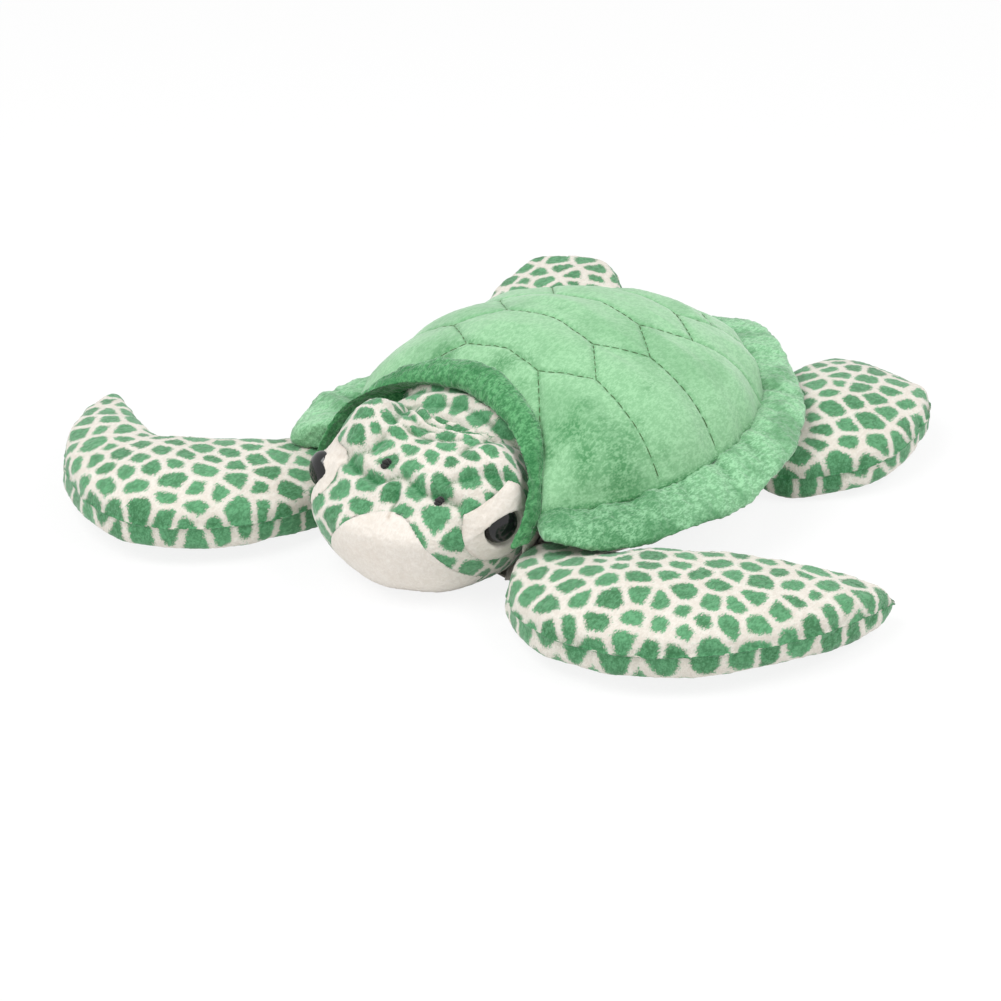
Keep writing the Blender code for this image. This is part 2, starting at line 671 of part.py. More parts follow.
def make_head(parts, cutters, looks, floor):
    """The head's skin with its muzzle and eye patches, the eyes, the nostrils and the fillings."""
    frame = head_frame()
    outline = head_cage("head_outline", 0.0, cutters, cutter=True)
    bpy.context.view_layer.update()
    surface = surface_of(outline)

    hollow = head_cage("head_hollow", SKIN, cutters, cutter=True)
    join_neck(hollow, SKIN, cutters)
    reach = NECK_RADIUS + OVERRUN
    rear = rod("neck_hole", NECK_CENTRE, NECK_CENTRE + frame.to_3x3() @ Vector((0, reach, 0)),
               0.0, cutters, cutter=True, end_radius=reach * math.tan(NECK_HOLE_ANGLE))

    muzzle_room = muzzle_cutter("muzzle_room", GAP, cutters)
    muzzle_edge = muzzle_cutter("muzzle_edge", 0.0, cutters)
    eye_axes = {tag: eye_axis(side, surface) for side, tag in ((1, "left"), (-1, "right"))}

    def skin_form(name, material):
        form = head_cage(name, 0.0, parts, material)
        join_neck(form, 0.0, cutters)
        combine(form, hollow, "DIFFERENCE")
        return form

    skin = skin_form("head_skin", looks["spotted"])
    combine(skin, rear, "DIFFERENCE")
    combine(skin, muzzle_room, "DIFFERENCE")
    muzzle = skin_form("muzzle_panel", looks["cream"])
    combine(muzzle, muzzle_edge, "INTERSECT")
    combine(muzzle, floor, "DIFFERENCE")
    combine(skin, floor, "DIFFERENCE")

    fill = head_cage("head_stuffing", SKIN + FILL_GAP, parts, looks["stuffing"])
    join_neck(fill, SKIN + FILL_GAP, cutters)
    core_room = ball("head_core_room", NECK_CENTRE, NECK_CORE_RADIUS + FILL_GAP, cutters, cutter=True)
    combine(fill, core_room, "DIFFERENCE")
    combine(fill, rear, "DIFFERENCE")

    for tag, (place, outward) in eye_axes.items():
        patch = skin_form("eye_patch_" + tag, looks["cream"])
        near_end = place - outward * OVERRUN / 2
        far_end = place + outward * OVERRUN / 2
        half_patch = EYE_PATCH_DIAMETER / 2
        patch_edge = rod("eye_patch_edge_" + tag, near_end, far_end, half_patch, cutters, cutter=True)
        patch_room = rod("eye_patch_room_" + tag, near_end - outward * GAP, far_end,
                         half_patch + GAP, cutters, cutter=True)
        bore = rod("eye_bore_" + tag, near_end, far_end, EYE_SHANK_DIAMETER / 2 + GAP, cutters,
                   cutter=True)
        combine(patch, patch_edge, "INTERSECT")
        combine(patch, bore, "DIFFERENCE")
        pressed = rod("eye_dent_" + tag, place + outward * (EYE_SEAT - GAP), far_end,
                      EYE_DIAMETER / 2 + GAP, cutters, cutter=True)
        gripped = rod("washer_dent_" + tag, near_end, place - outward * (SKIN + WASHER_SEAT - GAP),
                      WASHER_DIAMETER / 2 + GAP, cutters, cutter=True)
        for piece in (patch, skin):
            combine(piece, pressed, "DIFFERENCE")
            combine(piece, gripped, "DIFFERENCE")
        combine(skin, patch_room, "DIFFERENCE")
        pocket = rod("eye_pocket_" + tag, place - outward * (EYE_SHANK_LENGTH + FILL_GAP), far_end,
                     EYE_DIAMETER / 2 + FILL_GAP, cutters, cutter=True)
        combine(fill, pocket, "DIFFERENCE")
        make_eye(tag, along(outward, place), parts, looks)

    for side, tag in ((1, "left"), (-1, "right")):
        start = frame @ Vector((FACE_SHIFT + side * NOSTRIL_SPACING / 2, -HEAD_REACH - NOSTRIL_FORWARD,
                                HEAD_HEIGHT - NECK_HEIGHT))
        ahead = frame.to_3x3() @ Vector((0.0, -NOSTRIL_SLANT_SHARE, 1.0)).normalized()
        place, _ = surface(start, ahead)
        inner = place - ahead * (SKIN + FILL_GAP / 2)
        outer = place + ahead * NOSTRIL_PROUD
        rod("nostril_" + tag, inner, outer, NOSTRIL_DIAMETER / 2, parts, looks["thread"])
        hole = rod("nostril_hole_" + tag, place - ahead * (SKIN + OVERRUN / 4),
                   place + ahead * OVERRUN / 2, NOSTRIL_DIAMETER / 2 + GAP, cutters, cutter=True)
        combine(skin, hole, "DIFFERENCE")
        dent = rod("nostril_dent_" + tag, place - ahead * (SKIN + FILL_GAP * 3), place,
                   NOSTRIL_DIAMETER / 2 + GAP, cutters, cutter=True)
        combine(fill, dent, "DIFFERENCE")

    ball("neck_stuffing", NECK_CENTRE, NECK_CORE_RADIUS, parts, looks["stuffing"])


def muzzle_cutter(name, swell, cutters):
    """An upright oval rod through the lower face, whose overlap with the skin is the muzzle."""
    frame = head_frame()

    def build(sheet):
        back = HEAD_REACH + MUZZLE_BACK - swell
        front = HEAD_REACH + HEAD_LENGTH
        size = Matrix.Diagonal((MUZZLE_HALF_WIDTH + swell, MUZZLE_RISE + swell, front - back, 1.0))
        middle = Vector((FACE_SHIFT, -(front + back) / 2, MUZZLE_BASE - NECK_HEIGHT))
        turn = Matrix.Rotation(math.pi / 2, 4, "X")
        bmesh.ops.create_cone(
            sheet, cap_ends=True, segments=CUT_SEGMENTS, radius1=1.0, radius2=1.0, depth=1.0,
            matrix=frame @ Matrix.Translation(middle) @ turn @ size)
    return add_object(name, mesh_from(build, name), cutters, cutter=True)


def bearing_vector(bearing):
    """A level unit vector at a bearing from +X."""
    return Vector((math.cos(bearing), math.sin(bearing), 0.0))


def flipper_sizes(front):
    """The sizes of a front or a rear flipper."""
    if front:
        return {
            "root": Vector((DOME_WIDTH / 2 - FRONT_ROOT_INSET, -FRONT_ROOT_FORWARD, FRONT_ROOT_HEIGHT)),
            "seam": FRONT_SEAM_ANGLE, "root_chord": FRONT_ROOT_CHORD, "reach": FRONT_REACH,
            "shoulder": FRONT_SHOULDER, "elbow": FRONT_ELBOW, "chord": FRONT_CHORD,
            "thickness": FRONT_THICKNESS, "radius": FRONT_ROOT_RADIUS}
    return {
        "root": Vector((DOME_WIDTH / 2 - REAR_ROOT_INSET, REAR_ROOT_BACK, REAR_ROOT_HEIGHT)),
        "seam": REAR_SEAM_ANGLE, "root_chord": REAR_ROOT_CHORD, "reach": REAR_REACH,
        "shoulder": REAR_SHOULDER, "elbow": REAR_ELBOW, "chord": REAR_CHORD,
        "thickness": REAR_THICKNESS, "radius": REAR_ROOT_RADIUS}


def flipper_rows(sizes, pose, upper, shrink):
    """Rows of points over the upper or the lower side of a left flipper, root to tip."""
    tip_bearing, elbow_bearing, elbow_share, tip_lift, tip_shares = pose
    root, radius = sizes["root"], sizes["radius"] - shrink
    seam = bearing_vector(sizes["seam"])
    outward = bearing_vector(sizes["seam"] - math.pi / 2)
    shoulder = root + outward * sizes["shoulder"]
    elbow = root + bearing_vector(elbow_bearing) * (sizes["elbow"] * elbow_share)
    tip = root + bearing_vector(tip_bearing) * (sizes["reach"] - shrink)
    rows = []
    half_root = sizes["root_chord"] / 2 - shrink
    for turn in (0.0, math.pi / 4, math.pi / 2):
        row = []
        for chord_share in FLIPPER_CHORD_SHARES:
            round_share = math.sqrt(max(0.0, 1 - chord_share ** 4))
            lift = radius * math.sin(turn) * round_share * (1 if upper else -1)
            row.append(root - outward * (radius * math.cos(turn) * round_share)
                       - seam * (half_root * chord_share) + UP * lift)
        rows.append(row)
    for station, tip_share in zip(FLIPPER_STATION_SHARES, tip_shares):
        length_share, lead_share, trail_share, thick_share = station
        a, b = length_share, 1 - length_share
        centre = root * b ** 3 + shoulder * 3 * a * b * b + elbow * 3 * a * a * b + tip * a ** 3
        ahead = ((shoulder - root) * b * b + (elbow - shoulder) * 2 * a * b + (tip - elbow) * a * a)
        lead = Vector((ahead.y, -ahead.x, 0.0)).normalized()
        half_chord = sizes["chord"] / 2
        thickness = sizes["thickness"] * thick_share
        floor_level = -FLOOR_CUT + tip_lift * length_share ** 3
        seam_level = floor_level + thickness * FLIPPER_SEAM_SHARE
        row = []
        for chord_share in FLIPPER_CHORD_SHARES:
            spread = lead_share if chord_share > 0 else trail_share
            reach = max(half_chord * spread * tip_share - shrink, MM / 2)
            round_share = math.sqrt(max(0.0, 1 - abs(chord_share) ** (2.4 if upper else 4)))
            rise = thickness * (1 - FLIPPER_SEAM_SHARE) if upper else -thickness * FLIPPER_SEAM_SHARE
            rise = math.copysign(max(abs(rise) - shrink, 0.0), rise)
            row.append(Vector((centre.x, centre.y, 0.0)) + lead * (reach * chord_share)
                       + UP * (seam_level + rise * round_share))
        rows.append(row)
    return rows


def make_flipper(front, side, tag, pose, parts, looks, floor):
    """One flipper: two sewn panels round a stuffing, lying on the floor."""
    sizes = flipper_sizes(front)
    name = ("front" if front else "rear") + "_flipper_" + tag

    def placed(rows, lift):
        return [[Vector((point.x * side, point.y, point.z + lift)) for point in row] for row in rows]

    corners = len(FLIPPER_CHORD_SHARES)
    seams = (0, corners - 1, corners, 2 * corners - 1)
    for upper, part in ((True, "top"), (False, "bottom")):
        lift = GAP / 2 if upper else -GAP / 2
        outer = placed(flipper_rows(sizes, pose, upper, 0.0), lift)
        inner = placed(flipper_rows(sizes, pose, upper, SKIN), lift)
        rings = [over + list(reversed(under)) for over, under in zip(outer, inner)]
        node = name + "_" + part
        panel = add_object(node, mesh_from(lambda sheet: fill_loft(sheet, rings, seams, True), node),
                           parts, looks["spotted"])
        subdivide(panel)
        if not upper:
            combine(panel, floor, "DIFFERENCE")
    inset = SKIN + FILL_GAP
    tops = placed(flipper_rows(sizes, pose, True, inset), 0.0)
    bottoms = placed(flipper_rows(sizes, pose, False, inset), 0.0)
    rings = []
    for top, bottom in zip(tops[1:], bottoms[1:]):
        rings.append(top + list(reversed(bottom[1:-1])))
    fill = add_object(name + "_stuffing",
                      mesh_from(lambda sheet: fill_loft(sheet, rings), name + "_stuffing"),
                      parts, looks["stuffing"])
    subdivide(fill)


def root_cutter(front, side, tag, cutters):
    """The space that a flipper's root needs in the body, from its lowest to its highest swing."""
    sizes = flipper_sizes(front)
    seam = bearing_vector(sizes["seam"])
    outward = bearing_vector(sizes["seam"] - math.pi / 2)
    radius = sizes["radius"] + GAP
    top, low = math.pi / 2 + FLIPPER_LIFT, 3 * math.pi / 2 - FLIPPER_DROOP
    outline = []
    for step in range(ROOT_ROOM_STEPS + 1):
        turn = top + (low - top) * step / ROOT_ROOM_STEPS
        outline.append((radius * math.cos(turn), radius * math.sin(turn)))
    reach = sizes["chord"]
    for start, slope in ((outline[-1], -FLIPPER_DROOP - FLIPPER_SWELL_ANGLE),
                         (outline[0], FLIPPER_LIFT + FLIPPER_SWELL_ANGLE)):
        outline.append((start[0] + reach * math.cos(slope), start[1] + reach * math.sin(slope)))
    rings = []
    for end in (-sizes["chord"] / 2, sizes["chord"] / 2):
        ring = []
        for out, up in outline:
            place = sizes["root"] + seam * end + outward * out + UP * up
            ring.append(Vector((place.x * side, place.y, place.z)))
        rings.append(ring)
    name = ("front" if front else "rear") + "_root_room_" + tag
    return add_object(name, mesh_from(lambda sheet: fill_loft(sheet, rings), name), cutters,
                      cutter=True)


def main():
    """Builds the whole toy."""
    clear_scene()
    parts = new_collection("plush_turtle")
    cutters = new_collection("cutters")
    looks = {
        "dome": new_material("dome_plush", GREEN_DOME, 0.75),
        "rim": new_material("rim_plush", GREEN_PLUSH, 0.9),
        "spotted": new_material("spotted_plush", SPOTTED_PLUSH, 0.9),
        "cream": new_material("cream_plush", CREAM_PLUSH, 0.9),
        "eye": new_material("eye_plastic", EYE_BLACK, 0.12),
        "thread": new_material("nostril_thread", THREAD_BLACK, 0.6),
        "washer": new_material("washer_plastic", WASHER_WHITE, 0.5),
        "stuffing": new_material("polyester_stuffing", STUFFING_WHITE, 0.95),
        "pouch": new_material("pouch_cloth", POUCH_GREY, 0.9),
    }
    floor = level_block("floor_level", 0.0, 2 * OVERRUN, cutters)
    flippers = (
        (True, 1, "left", LEFT_FRONT_POSE), (True, -1, "right", RIGHT_FRONT_POSE),
        (False, 1, "left", LEFT_REAR_POSE), (False, -1, "right", RIGHT_REAR_POSE))
    root_cuts = [root_cutter(front, side, tag, cutters) for front, side, tag, _ in flippers]
    make_body(parts, cutters, looks, root_cuts, floor)
    make_head(parts, cutters, looks, floor)
    for front, side, tag, pose in flippers:
        make_flipper(front, side, tag, pose, parts, looks, floor)


main()
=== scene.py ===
"""Looks of the plush sea turtle: sewn plush skins, quilting, spots, eyes, lights and camera."""

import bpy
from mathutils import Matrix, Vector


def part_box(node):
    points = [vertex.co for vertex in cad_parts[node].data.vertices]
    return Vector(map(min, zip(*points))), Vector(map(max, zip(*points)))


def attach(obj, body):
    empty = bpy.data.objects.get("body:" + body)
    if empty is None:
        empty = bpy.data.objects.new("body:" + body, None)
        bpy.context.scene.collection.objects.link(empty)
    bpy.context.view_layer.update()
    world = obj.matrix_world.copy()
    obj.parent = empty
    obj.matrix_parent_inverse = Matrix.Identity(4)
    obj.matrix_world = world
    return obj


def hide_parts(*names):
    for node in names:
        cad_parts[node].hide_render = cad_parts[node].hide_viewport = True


bl_info = {
    "name": "Plush Turtle",
    "version": (1, 0, 0),
    "blender": (4, 5, 0),
    "location": "View3D > Sidebar > Plush Turtle",
    "description": "Dresses the packed plush turtle in sewn plush and sets its stage",
    "category": "Object",
}

import math

import bmesh
import bpy
import numpy as np
from mathutils import Matrix, Vector, noise
from mathutils.bvhtree import BVHTree

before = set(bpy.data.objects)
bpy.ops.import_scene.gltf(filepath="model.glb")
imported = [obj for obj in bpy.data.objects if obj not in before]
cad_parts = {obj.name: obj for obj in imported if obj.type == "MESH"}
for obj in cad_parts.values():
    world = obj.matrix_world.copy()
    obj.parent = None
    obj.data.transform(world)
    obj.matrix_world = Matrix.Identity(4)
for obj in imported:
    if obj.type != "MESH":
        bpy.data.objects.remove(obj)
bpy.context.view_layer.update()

MM = 0.001

# Fabric and mesh
SKIN = 1.4 * MM
CLOTH = 0.5 * MM
FLOOR_CUT = 0.5 * MM
FLOOR_GAP = CLOTH / 5
MESH_STEP = 1.0 * MM
PATH_STEP = MESH_STEP * 2
WELD = 0.03 * MM

# Pile: tufts, single hairs and patches that are brushed the other way
TUFT_LENGTH = 1.7 * MM
HAIR_LENGTH = 0.6 * MM
TUFT_STRETCH_SHARES = (1.0, 0.55, 0.8)
HAIR_STRETCH_SHARES = (1.0, 0.4, 0.7)
PATCH_LENGTH = 30 * MM
BUMP_DEPTH = 1.0 * MM

# Printed spots
DARTS = 7000
NEAREST_SPOTS = 5
SPOT_CORNER = 0.75 * MM
SPOT_NARROWING = 0.9 * MM
SPOT_SWELL_SHARE = 0.55
HAIR_FRAYING = 2.8 * MM
TUFT_FRAYING = 2.4 * MM
SPOT_EDGE_INSIDE = 0.7 * MM
SPOT_EDGE_OUTSIDE = 0.8 * MM

# Grain of the other finishes
MARK_LENGTH = 4 * MM
MARK_DEPTH = 0.2 * MM
THREAD_HAIR = 0.3 * MM
KNOT_HAIR = 0.5 * MM
STUFFING_HAIR = 1.2 * MM
POUCH_HAIR = 0.6 * MM
WASHER_GRAIN = 8 * MM

# Shell and body, as in the solids
SHELL_FRONT = 92 * MM
SHELL_LENGTH = 196 * MM
DOME_WIDTH = 172 * MM
DOME_HEIGHT = 50 * MM
SEAM_HEIGHT = 39 * MM
FRONT_LEAN = 26 * MM
# Each arch: its place along the shell, its width and its height
DOME_STATION_SHARES = (
    (0.00, 0.70, 0.66),
    (0.11, 0.87, 0.84),
    (0.27, 0.99, 0.96),
    (0.45, 1.00, 1.00),
    (0.62, 0.92, 0.90),
    (0.78, 0.72, 0.68),
    (0.91, 0.42, 0.36),
    (1.00, 0.00, 0.00),
)
BELLY_SECTION_SHARES = ((1.00, 1.00), (1.01, 0.62), (0.90, 0.16), (0.62, 0.0), (0.0, 0.0))
ARCH_STEPS = 6

# Quilting: puffed panels between rows of stitches
DOME_STEP = MESH_STEP * 1.1
QUILT_DEPTH = 1.1 * MM
QUILT_GROOVE = 1.2 * MM
QUILT_PUFF = 2.2 * MM
QUILT_PUFF_REACH = 13 * MM
DOME_LIFT = 0.6 * MM
DOME_LEAST_LIFT = -0.9 * MM
DOME_SWELL = 0.9 * MM
DOME_SWELL_LENGTH = 34 * MM
GATHER_HEIGHT = 0.5 * MM
GATHER_LENGTH = 6 * MM
GATHER_REACH = 5 * MM
CROSS_FOLD_HEIGHT = 1.5 * MM
CROSS_FOLD_LENGTH = 13 * MM
# Widths of the painted shade along the stitched lines and along the seam
STITCH_SHADE_WIDTH = 1.0 * MM
SEAM_SHADE_WIDTH = 2.2 * MM
HEM_IN = 2.0 * MM
HEM_DOWN = 3.0 * MM
# Lengths of the unevenness of the painted shade patches
PAINTED_SHADE_LENGTH = 9 * MM
PAINTED_SHADE_FINE_LENGTH = 3.5 * MM
# Painted shade patches where the pile lies the other way: their places as shares of the half width and
# of the length, and their reach as a share of the length
PAINTED_SHADE_SHARES = (
    (0.06, 0.19, 0.045),
    (0.62, 0.15, 0.05),
    (0.86, 0.19, 0.075),
    (0.74, 0.13, 0.05),
    (-0.30, 0.17, 0.05),
)
# Corners of the quilting's zigzag, and where lines run from some of them to the seam: shares of the
# half width and of the length from the front
QUILT_CORNER_SHARES = ((0.25, 0.215), (0.50, 0.285), (0.30, 0.375), (0.53, 0.455), (0.30, 0.535),
                       (0.50, 0.625), (0.24, 0.70), (0.36, 0.775), (0.14, 0.86))
QUILT_FOOT_SHARES = {0: (0.56, 0.075), 1: (1.05, 0.27), 3: (1.05, 0.47), 5: (0.86, 0.78), 7: (0.42, 0.93)}
QUILT_BOW_SHARE = 0.02
STITCH_LENGTH = 3.4 * MM
STITCH_GAP = 0.6 * MM
STITCH_RADIUS = 0.2 * MM
STITCH_SHARE = 0.74
STITCH_SIDES = 6
# Rings of a stitch: their places along it and their thickness
STITCH_RING_SHARES = ((0.0, 0.25), (0.12, 0.85), (0.5, 1.0), (0.88, 0.85), (1.0, 0.25))

# Belly
BELLY_STEP = MESH_STEP * 1.3
BELLY_LUMP = 1.0 * MM
BELLY_LUMP_LENGTH = 30 * MM
BELLY_FLAT_HEIGHT = 2 * MM
BELLY_TUCK_REACH = 12 * MM
BELLY_TUCK_TOP = 2 * MM
BELLY_TUCK_SHARE = 0.035
BELLY_EDGE_DROP = 1.5 * MM

# Rim: its sizes as in the solids, then its floppy shape
RIM_THICKNESS = 7.5 * MM
RIM_WIDTH_FRONT = 24 * MM
RIM_WIDTH_SIDE = 19 * MM
RIM_WIDTH_REAR = 28 * MM
RIM_DROP = 7 * MM
RIM_WAVE = 2.2 * MM
RIM_SECTION_SHARES = (
    (0.0, -0.9), (0.35, -1.0), (0.75, -1.0), (0.97, -0.6), (1.0, 0.15), (0.88, 0.85), (0.45, 1.0),
    (0.0, 0.7),
)
RIM_STATIONS = 38
RIM_END_SHARES = (0.005, 0.011, 0.018)
RIM_AHEAD_SHARE = 0.004
RIM_WAVES = 9
RIM_WAVE_START = 0.6
RIM_TUCK = 2.9 * SKIN
# The ends of the rim, as shares of the way from the front to the middle of the rear
RIM_TAPER_SHARE = 0.7
RIM_TAPER_REACH_SHARE = 0.12
RIM_FLARE_REACH_SHARE = 0.85
RIM_HANG_SHARE = 0.10
RIM_HANG_REACH_SHARE = 0.16
RIM_LOBE_SHARE = 0.05
RIM_LOBE_REACH_SHARE = 0.08
RIM_ROUND_REACH_SHARE = 0.07
RIM_STEP = MESH_STEP * 1.05
RIM_RUN = 620 * MM
RIM_GATHER_HEIGHT = 2.6 * MM
RIM_GATHER_LENGTH = 11 * MM
RIM_FLOP = 4.5 * MM
RIM_FLOP_LENGTH = 46 * MM
RIM_BILLOW = 1.2 * MM
RIM_BILLOW_LENGTH = 20 * MM
RIM_SEAM_SHADE = 2.6 * MM
RIM_PATCH_LENGTH = 17 * MM
# Painted shade on the near front of the rim: its place and reach as shares of the way round
RIM_PAINTED_SHADE_SHARE = 0.07
RIM_PAINTED_SHADE_REACH_SHARE = 0.08

# Collar: as in the solids, but rolled slimmer and with feet that reach a little lower
COLLAR_INSET = 28 * MM
COLLAR_RISE = 45 * MM
COLLAR_FOOT_HEIGHT = 33 * MM
COLLAR_FOOT_FORWARD = 97 * MM
COLLAR_TOP_FORWARD = 62 * MM
COLLAR_THICKNESS = 13 * MM
COLLAR_DEPTH = 25 * MM
COLLAR_STATIONS = 16
COLLAR_SECTION_POINTS = 10
COLLAR_SLIM_SHARE = 0.58
COLLAR_STEP = MESH_STEP * 0.85
COLLAR_LUMP = 1.1 * MM
COLLAR_LUMP_LENGTH = 14 * MM
COLLAR_PATCH_LENGTH = 16 * MM
COLLAR_FOOT_SHARE = 0.015
COLLAR_FOOT_YIELD_SHARE = 0.72
COLLAR_FOOT_LOW = 38 * MM
COLLAR_FOOT_HIGH = 56 * MM

# Lining of the opening between the shell and the neck: name, is it of the collar's plush and painted
# shade, slot, and first and last angle in degrees
LININGS = (
    ("collar_lining", True, "rim_plush", -8, 188),
    ("front_lining_left", False, "cream_plush", -62, -6),
    ("front_lining_right", False, "cream_plush", 186, 242),
)
LINING_LOWEST_ANGLE = math.radians(62)
LINING_ROOM = 6.5 * MM
LINING_START_SHARE = -0.04
LINING_FALL_SHARE = 0.035
LINING_ROW_POINTS = 37
LINING_FOOT_BACK = 4 * MM
LINING_FOOT_HEIGHT = 1 * MM
LINING_TURN_IN = 1.2

# Neck and head, as in the solids
NECK_FORWARD = 64 * MM
NECK_HEIGHT = 33 * MM
NECK_RADIUS = 37.5 * MM
NECK_UNDERSIDE = 12 * MM
NECK_HOLE_ANGLE = math.radians(47)
HEAD_TURN = math.radians(5)
HEAD_REACH = 36 * MM
HEAD_WIDTH = 106 * MM
HEAD_LENGTH = 100 * MM
HEAD_HEIGHT = 33.5 * MM
HEAD_BACK = 36 * MM
HEAD_CROWN = 29 * MM
HEAD_CHIN = 39 * MM
HEAD_BROW = 5 * MM
HEAD_PLAY_SIDE = 10 * MM
HEAD_PLAY_BACK = 10 * MM
HEAD_PLAY_UP = 12 * MM
HEAD_SLOPE_SHARE = 0.72
HEAD_CAGE_SHARE = 0.945
HEAD_ROUNDING_SHARE = 0.25
MUZZLE_HALF_WIDTH = 33 * MM
MUZZLE_RISE = 36 * MM
MUZZLE_BASE = 4 * MM
MUZZLE_BACK = 14 * MM
EYE_DIAMETER = 16 * MM
EYE_CROWN = 5 * MM
EYE_SHANK_DIAMETER = 4.4 * MM
EYE_SHANK_LENGTH = 8 * MM
EYE_PATCH_DIAMETER = 30 * MM
EYE_SEAT = 0.7 * MM
NOSTRIL_DIAMETER = 4.4 * MM

# The soft head: its face is pushed to the side, and its skin swells, creases and bunches up
HEAD_FACE_STEPS = 90
HEAD_LIFT = 1.5 * MM
HEAD_SWELL = 1.0 * MM
HEAD_SWELL_LENGTH = 20 * MM
HEAD_LEAST_LIFT = -1.0 * MM
FACE_SHIFT = 7 * MM
MUZZLE_LEAN = 6.5 * MM
MUZZLE_HIGHER = 2.5 * MM
MUZZLE_SMOOTH = 3 * MM
CROWN_FORWARD = 50 * MM
CROWN_BUNCHING = 0.8
# Brows and the full snout: side, forward, reach and height in mm
BROWS = ((-31, -42, 14, 8.5), (42, -36, 15, 4.5), (FACE_SHIFT / MM, -52, 15, 3.0))
# Creases: points from the head's middle, depth and width in mm. First the seam over the snout, then
# the one down to the muzzle, and the notches beside the brows
CREASES = (
    (((-30, -20, 13), (-16, -26, 14), (-4, -29, 15), (6, -24, 18), (18, -26, 15), (34, -22, 12)),
     3.0, 2.2),
    (((6, -27, 17), (9, -33, 13), (11, -40, 8)), 2.2, 1.9),
    (((-16, -4, 28), (-19, 6, 27), (-22, 16, 22)), 4.0, 3.0),
    (((-14, -12, 24), (-17, -18, 20), (-24, -22, 15)), 2.4, 2.4),
    (((24, -6, 27), (27, 6, 25), (28, 16, 20)), 2.0, 2.6),
    (((26, -18, 17), (34, -10, 18), (44, -2, 17)), 1.8, 2.2),
)
# Folds round the back of the crown: reach from the neck in mm, sweep to each side in degrees, depth
# and width in mm
CROWN_FOLDS = (
    (16, -56, 66, 2.8, 1.6), (21, -50, 74, 3.2, 1.8), (26, -40, 68, 2.8, 1.6), (31, -40, 58, 3.0, 1.8),
    (36, -26, 50, 2.4, 1.6), (41, -14, 34, 1.6, 1.4),
)
CROWN_FOLD_HEIGHT = 27
CROWN_FOLD_POINTS = 9

# Eyes in the soft head: each one's depth in its patch, the fullness below it, its lid's height, line,
# reach aside and tilt, and how flat the skin round it is
EYE_FITS = {
    "left": (1.3 * MM, 0.0, 1.5 * MM, 3.6 * MM, 15 * MM, 0.12, 0.3),
    "right": (-0.2 * MM, -0.6 * MM, 2.6 * MM, 5.6 * MM, 8 * MM, -0.2, 1.0),
}
EYE_TURNS = {"left": 0.0, "right": math.radians(15)}
EYE_PATCH_SHARE = 0.8
EYE_PATCH_TOP_SHARE = 0.78
EYE_PATCH_LIFT = 1.0 * MM
EYE_PATCH_SEAM = 0.35 * MM
EYE_PATCH_SEAM_WIDTH = 1.2 * MM
EYE_FLAT_REACH = 6.5 * MM
EYE_POCKET_ROOM = 0.6 * MM
CHEEK_REACH = 2.6 * MM
CHEEK_NEAR = 2 * MM
CHEEK_FAR = 9 * MM
LID_REACH = 9 * MM
LID_CURVE = 60 * MM
LID_EDGE_FADE = 6 * MM
LID_BELOW = 0.5 * MM
LID_ABOVE = 0.7 * MM
PATCH_SHADE_WIDTH = 1.0 * MM
EYE_SIDES = 64
EYE_DOME_RINGS = 20
EYE_BEVEL = 0.25 * MM
EYE_SHANK_ROOT = 0.6 * MM
NOSTRIL_PULLS = {"left": (5.0 * MM, 0.5 * MM, 0.0), "right": (4.5 * MM, 5.0 * MM, 0.0)}
NOSTRIL_STRANDS = 7
# Stands for the distance of a place that isn't near the eye
FAR_AWAY = 1.0

# The soft neck
NECK_RINGS = 110
NECK_SIDES = 170
NECK_LAST_ANGLE = math.radians(152)
NECK_WRINKLES = 24
NECK_WRINKLE_SHARE = 0.022

# Flippers, as in the solids
FRONT_ROOT_INSET = 19 * MM
FRONT_ROOT_FORWARD = 85 * MM
FRONT_SEAM_ANGLE = math.radians(42)
FRONT_ROOT_CHORD = 40 * MM
FRONT_REACH = 140 * MM
FRONT_SHOULDER = 40 * MM
FRONT_ELBOW = 78 * MM
FRONT_CHORD = 88 * MM
FRONT_THICKNESS = 34 * MM
FRONT_ROOT_RADIUS = 11 * MM
FRONT_ROOT_HEIGHT = 15 * MM
REAR_ROOT_INSET = 18 * MM
REAR_ROOT_BACK = 56 * MM
REAR_SEAM_ANGLE = math.radians(128)
REAR_ROOT_CHORD = 44 * MM
REAR_REACH = 98 * MM
REAR_SHOULDER = 34 * MM
REAR_ELBOW = 62 * MM
REAR_CHORD = 80 * MM
REAR_THICKNESS = 30 * MM
REAR_ROOT_RADIUS = 11 * MM
REAR_ROOT_HEIGHT = 12 * MM
FLIPPER_LIFT = math.radians(10)
FLIPPER_SWELL_ANGLE = math.radians(18)
# Each station: its place along the flipper, its leading and trailing width, and its thickness
FLIPPER_STATION_SHARES = (
    (0.16, 0.80, 0.58, 0.84),
    (0.36, 1.04, 0.86, 1.00),
    (0.58, 1.02, 0.94, 0.98),
    (0.80, 0.74, 0.72, 0.78),
    (0.95, 0.32, 0.34, 0.42),
    (1.00, 0.05, 0.05, 0.06),
)
FLIPPER_CHORD_SHARES = (-1.0, -0.72, 0.0, 0.72, 1.0)

# How each flipper lies: the tip's bearing, the elbow's bearing and reach, the tip's lift, and how the
# stations' widths change
PLAIN_TIP_SHARES = (1.0, 1.0, 1.0, 1.0, 1.0, 1.0)
NARROW_TIP_SHARES = (1.0, 1.0, 1.0, 0.80, 0.74, 1.0)
SQUARE_TIP_SHARES = (1.0, 1.0, 1.0, 1.3, 2.3, 9.0)
ROUND_TIP_SHARES = (1.0, 1.0, 1.0, 1.1, 1.7, 8.0)
FLIPPER_POSES = {
    ("front", "left"): (math.radians(32), math.radians(-10), 1.0, 10 * MM, PLAIN_TIP_SHARES),
    ("front", "right"): (math.radians(-9), math.radians(-81), 2.02, 14 * MM, NARROW_TIP_SHARES),
    ("rear", "left"): (math.radians(90), math.radians(96), 0.95, 14 * MM, SQUARE_TIP_SHARES),
    ("rear", "right"): (math.radians(54), math.radians(58), 1.0, 29 * MM, ROUND_TIP_SHARES),
}

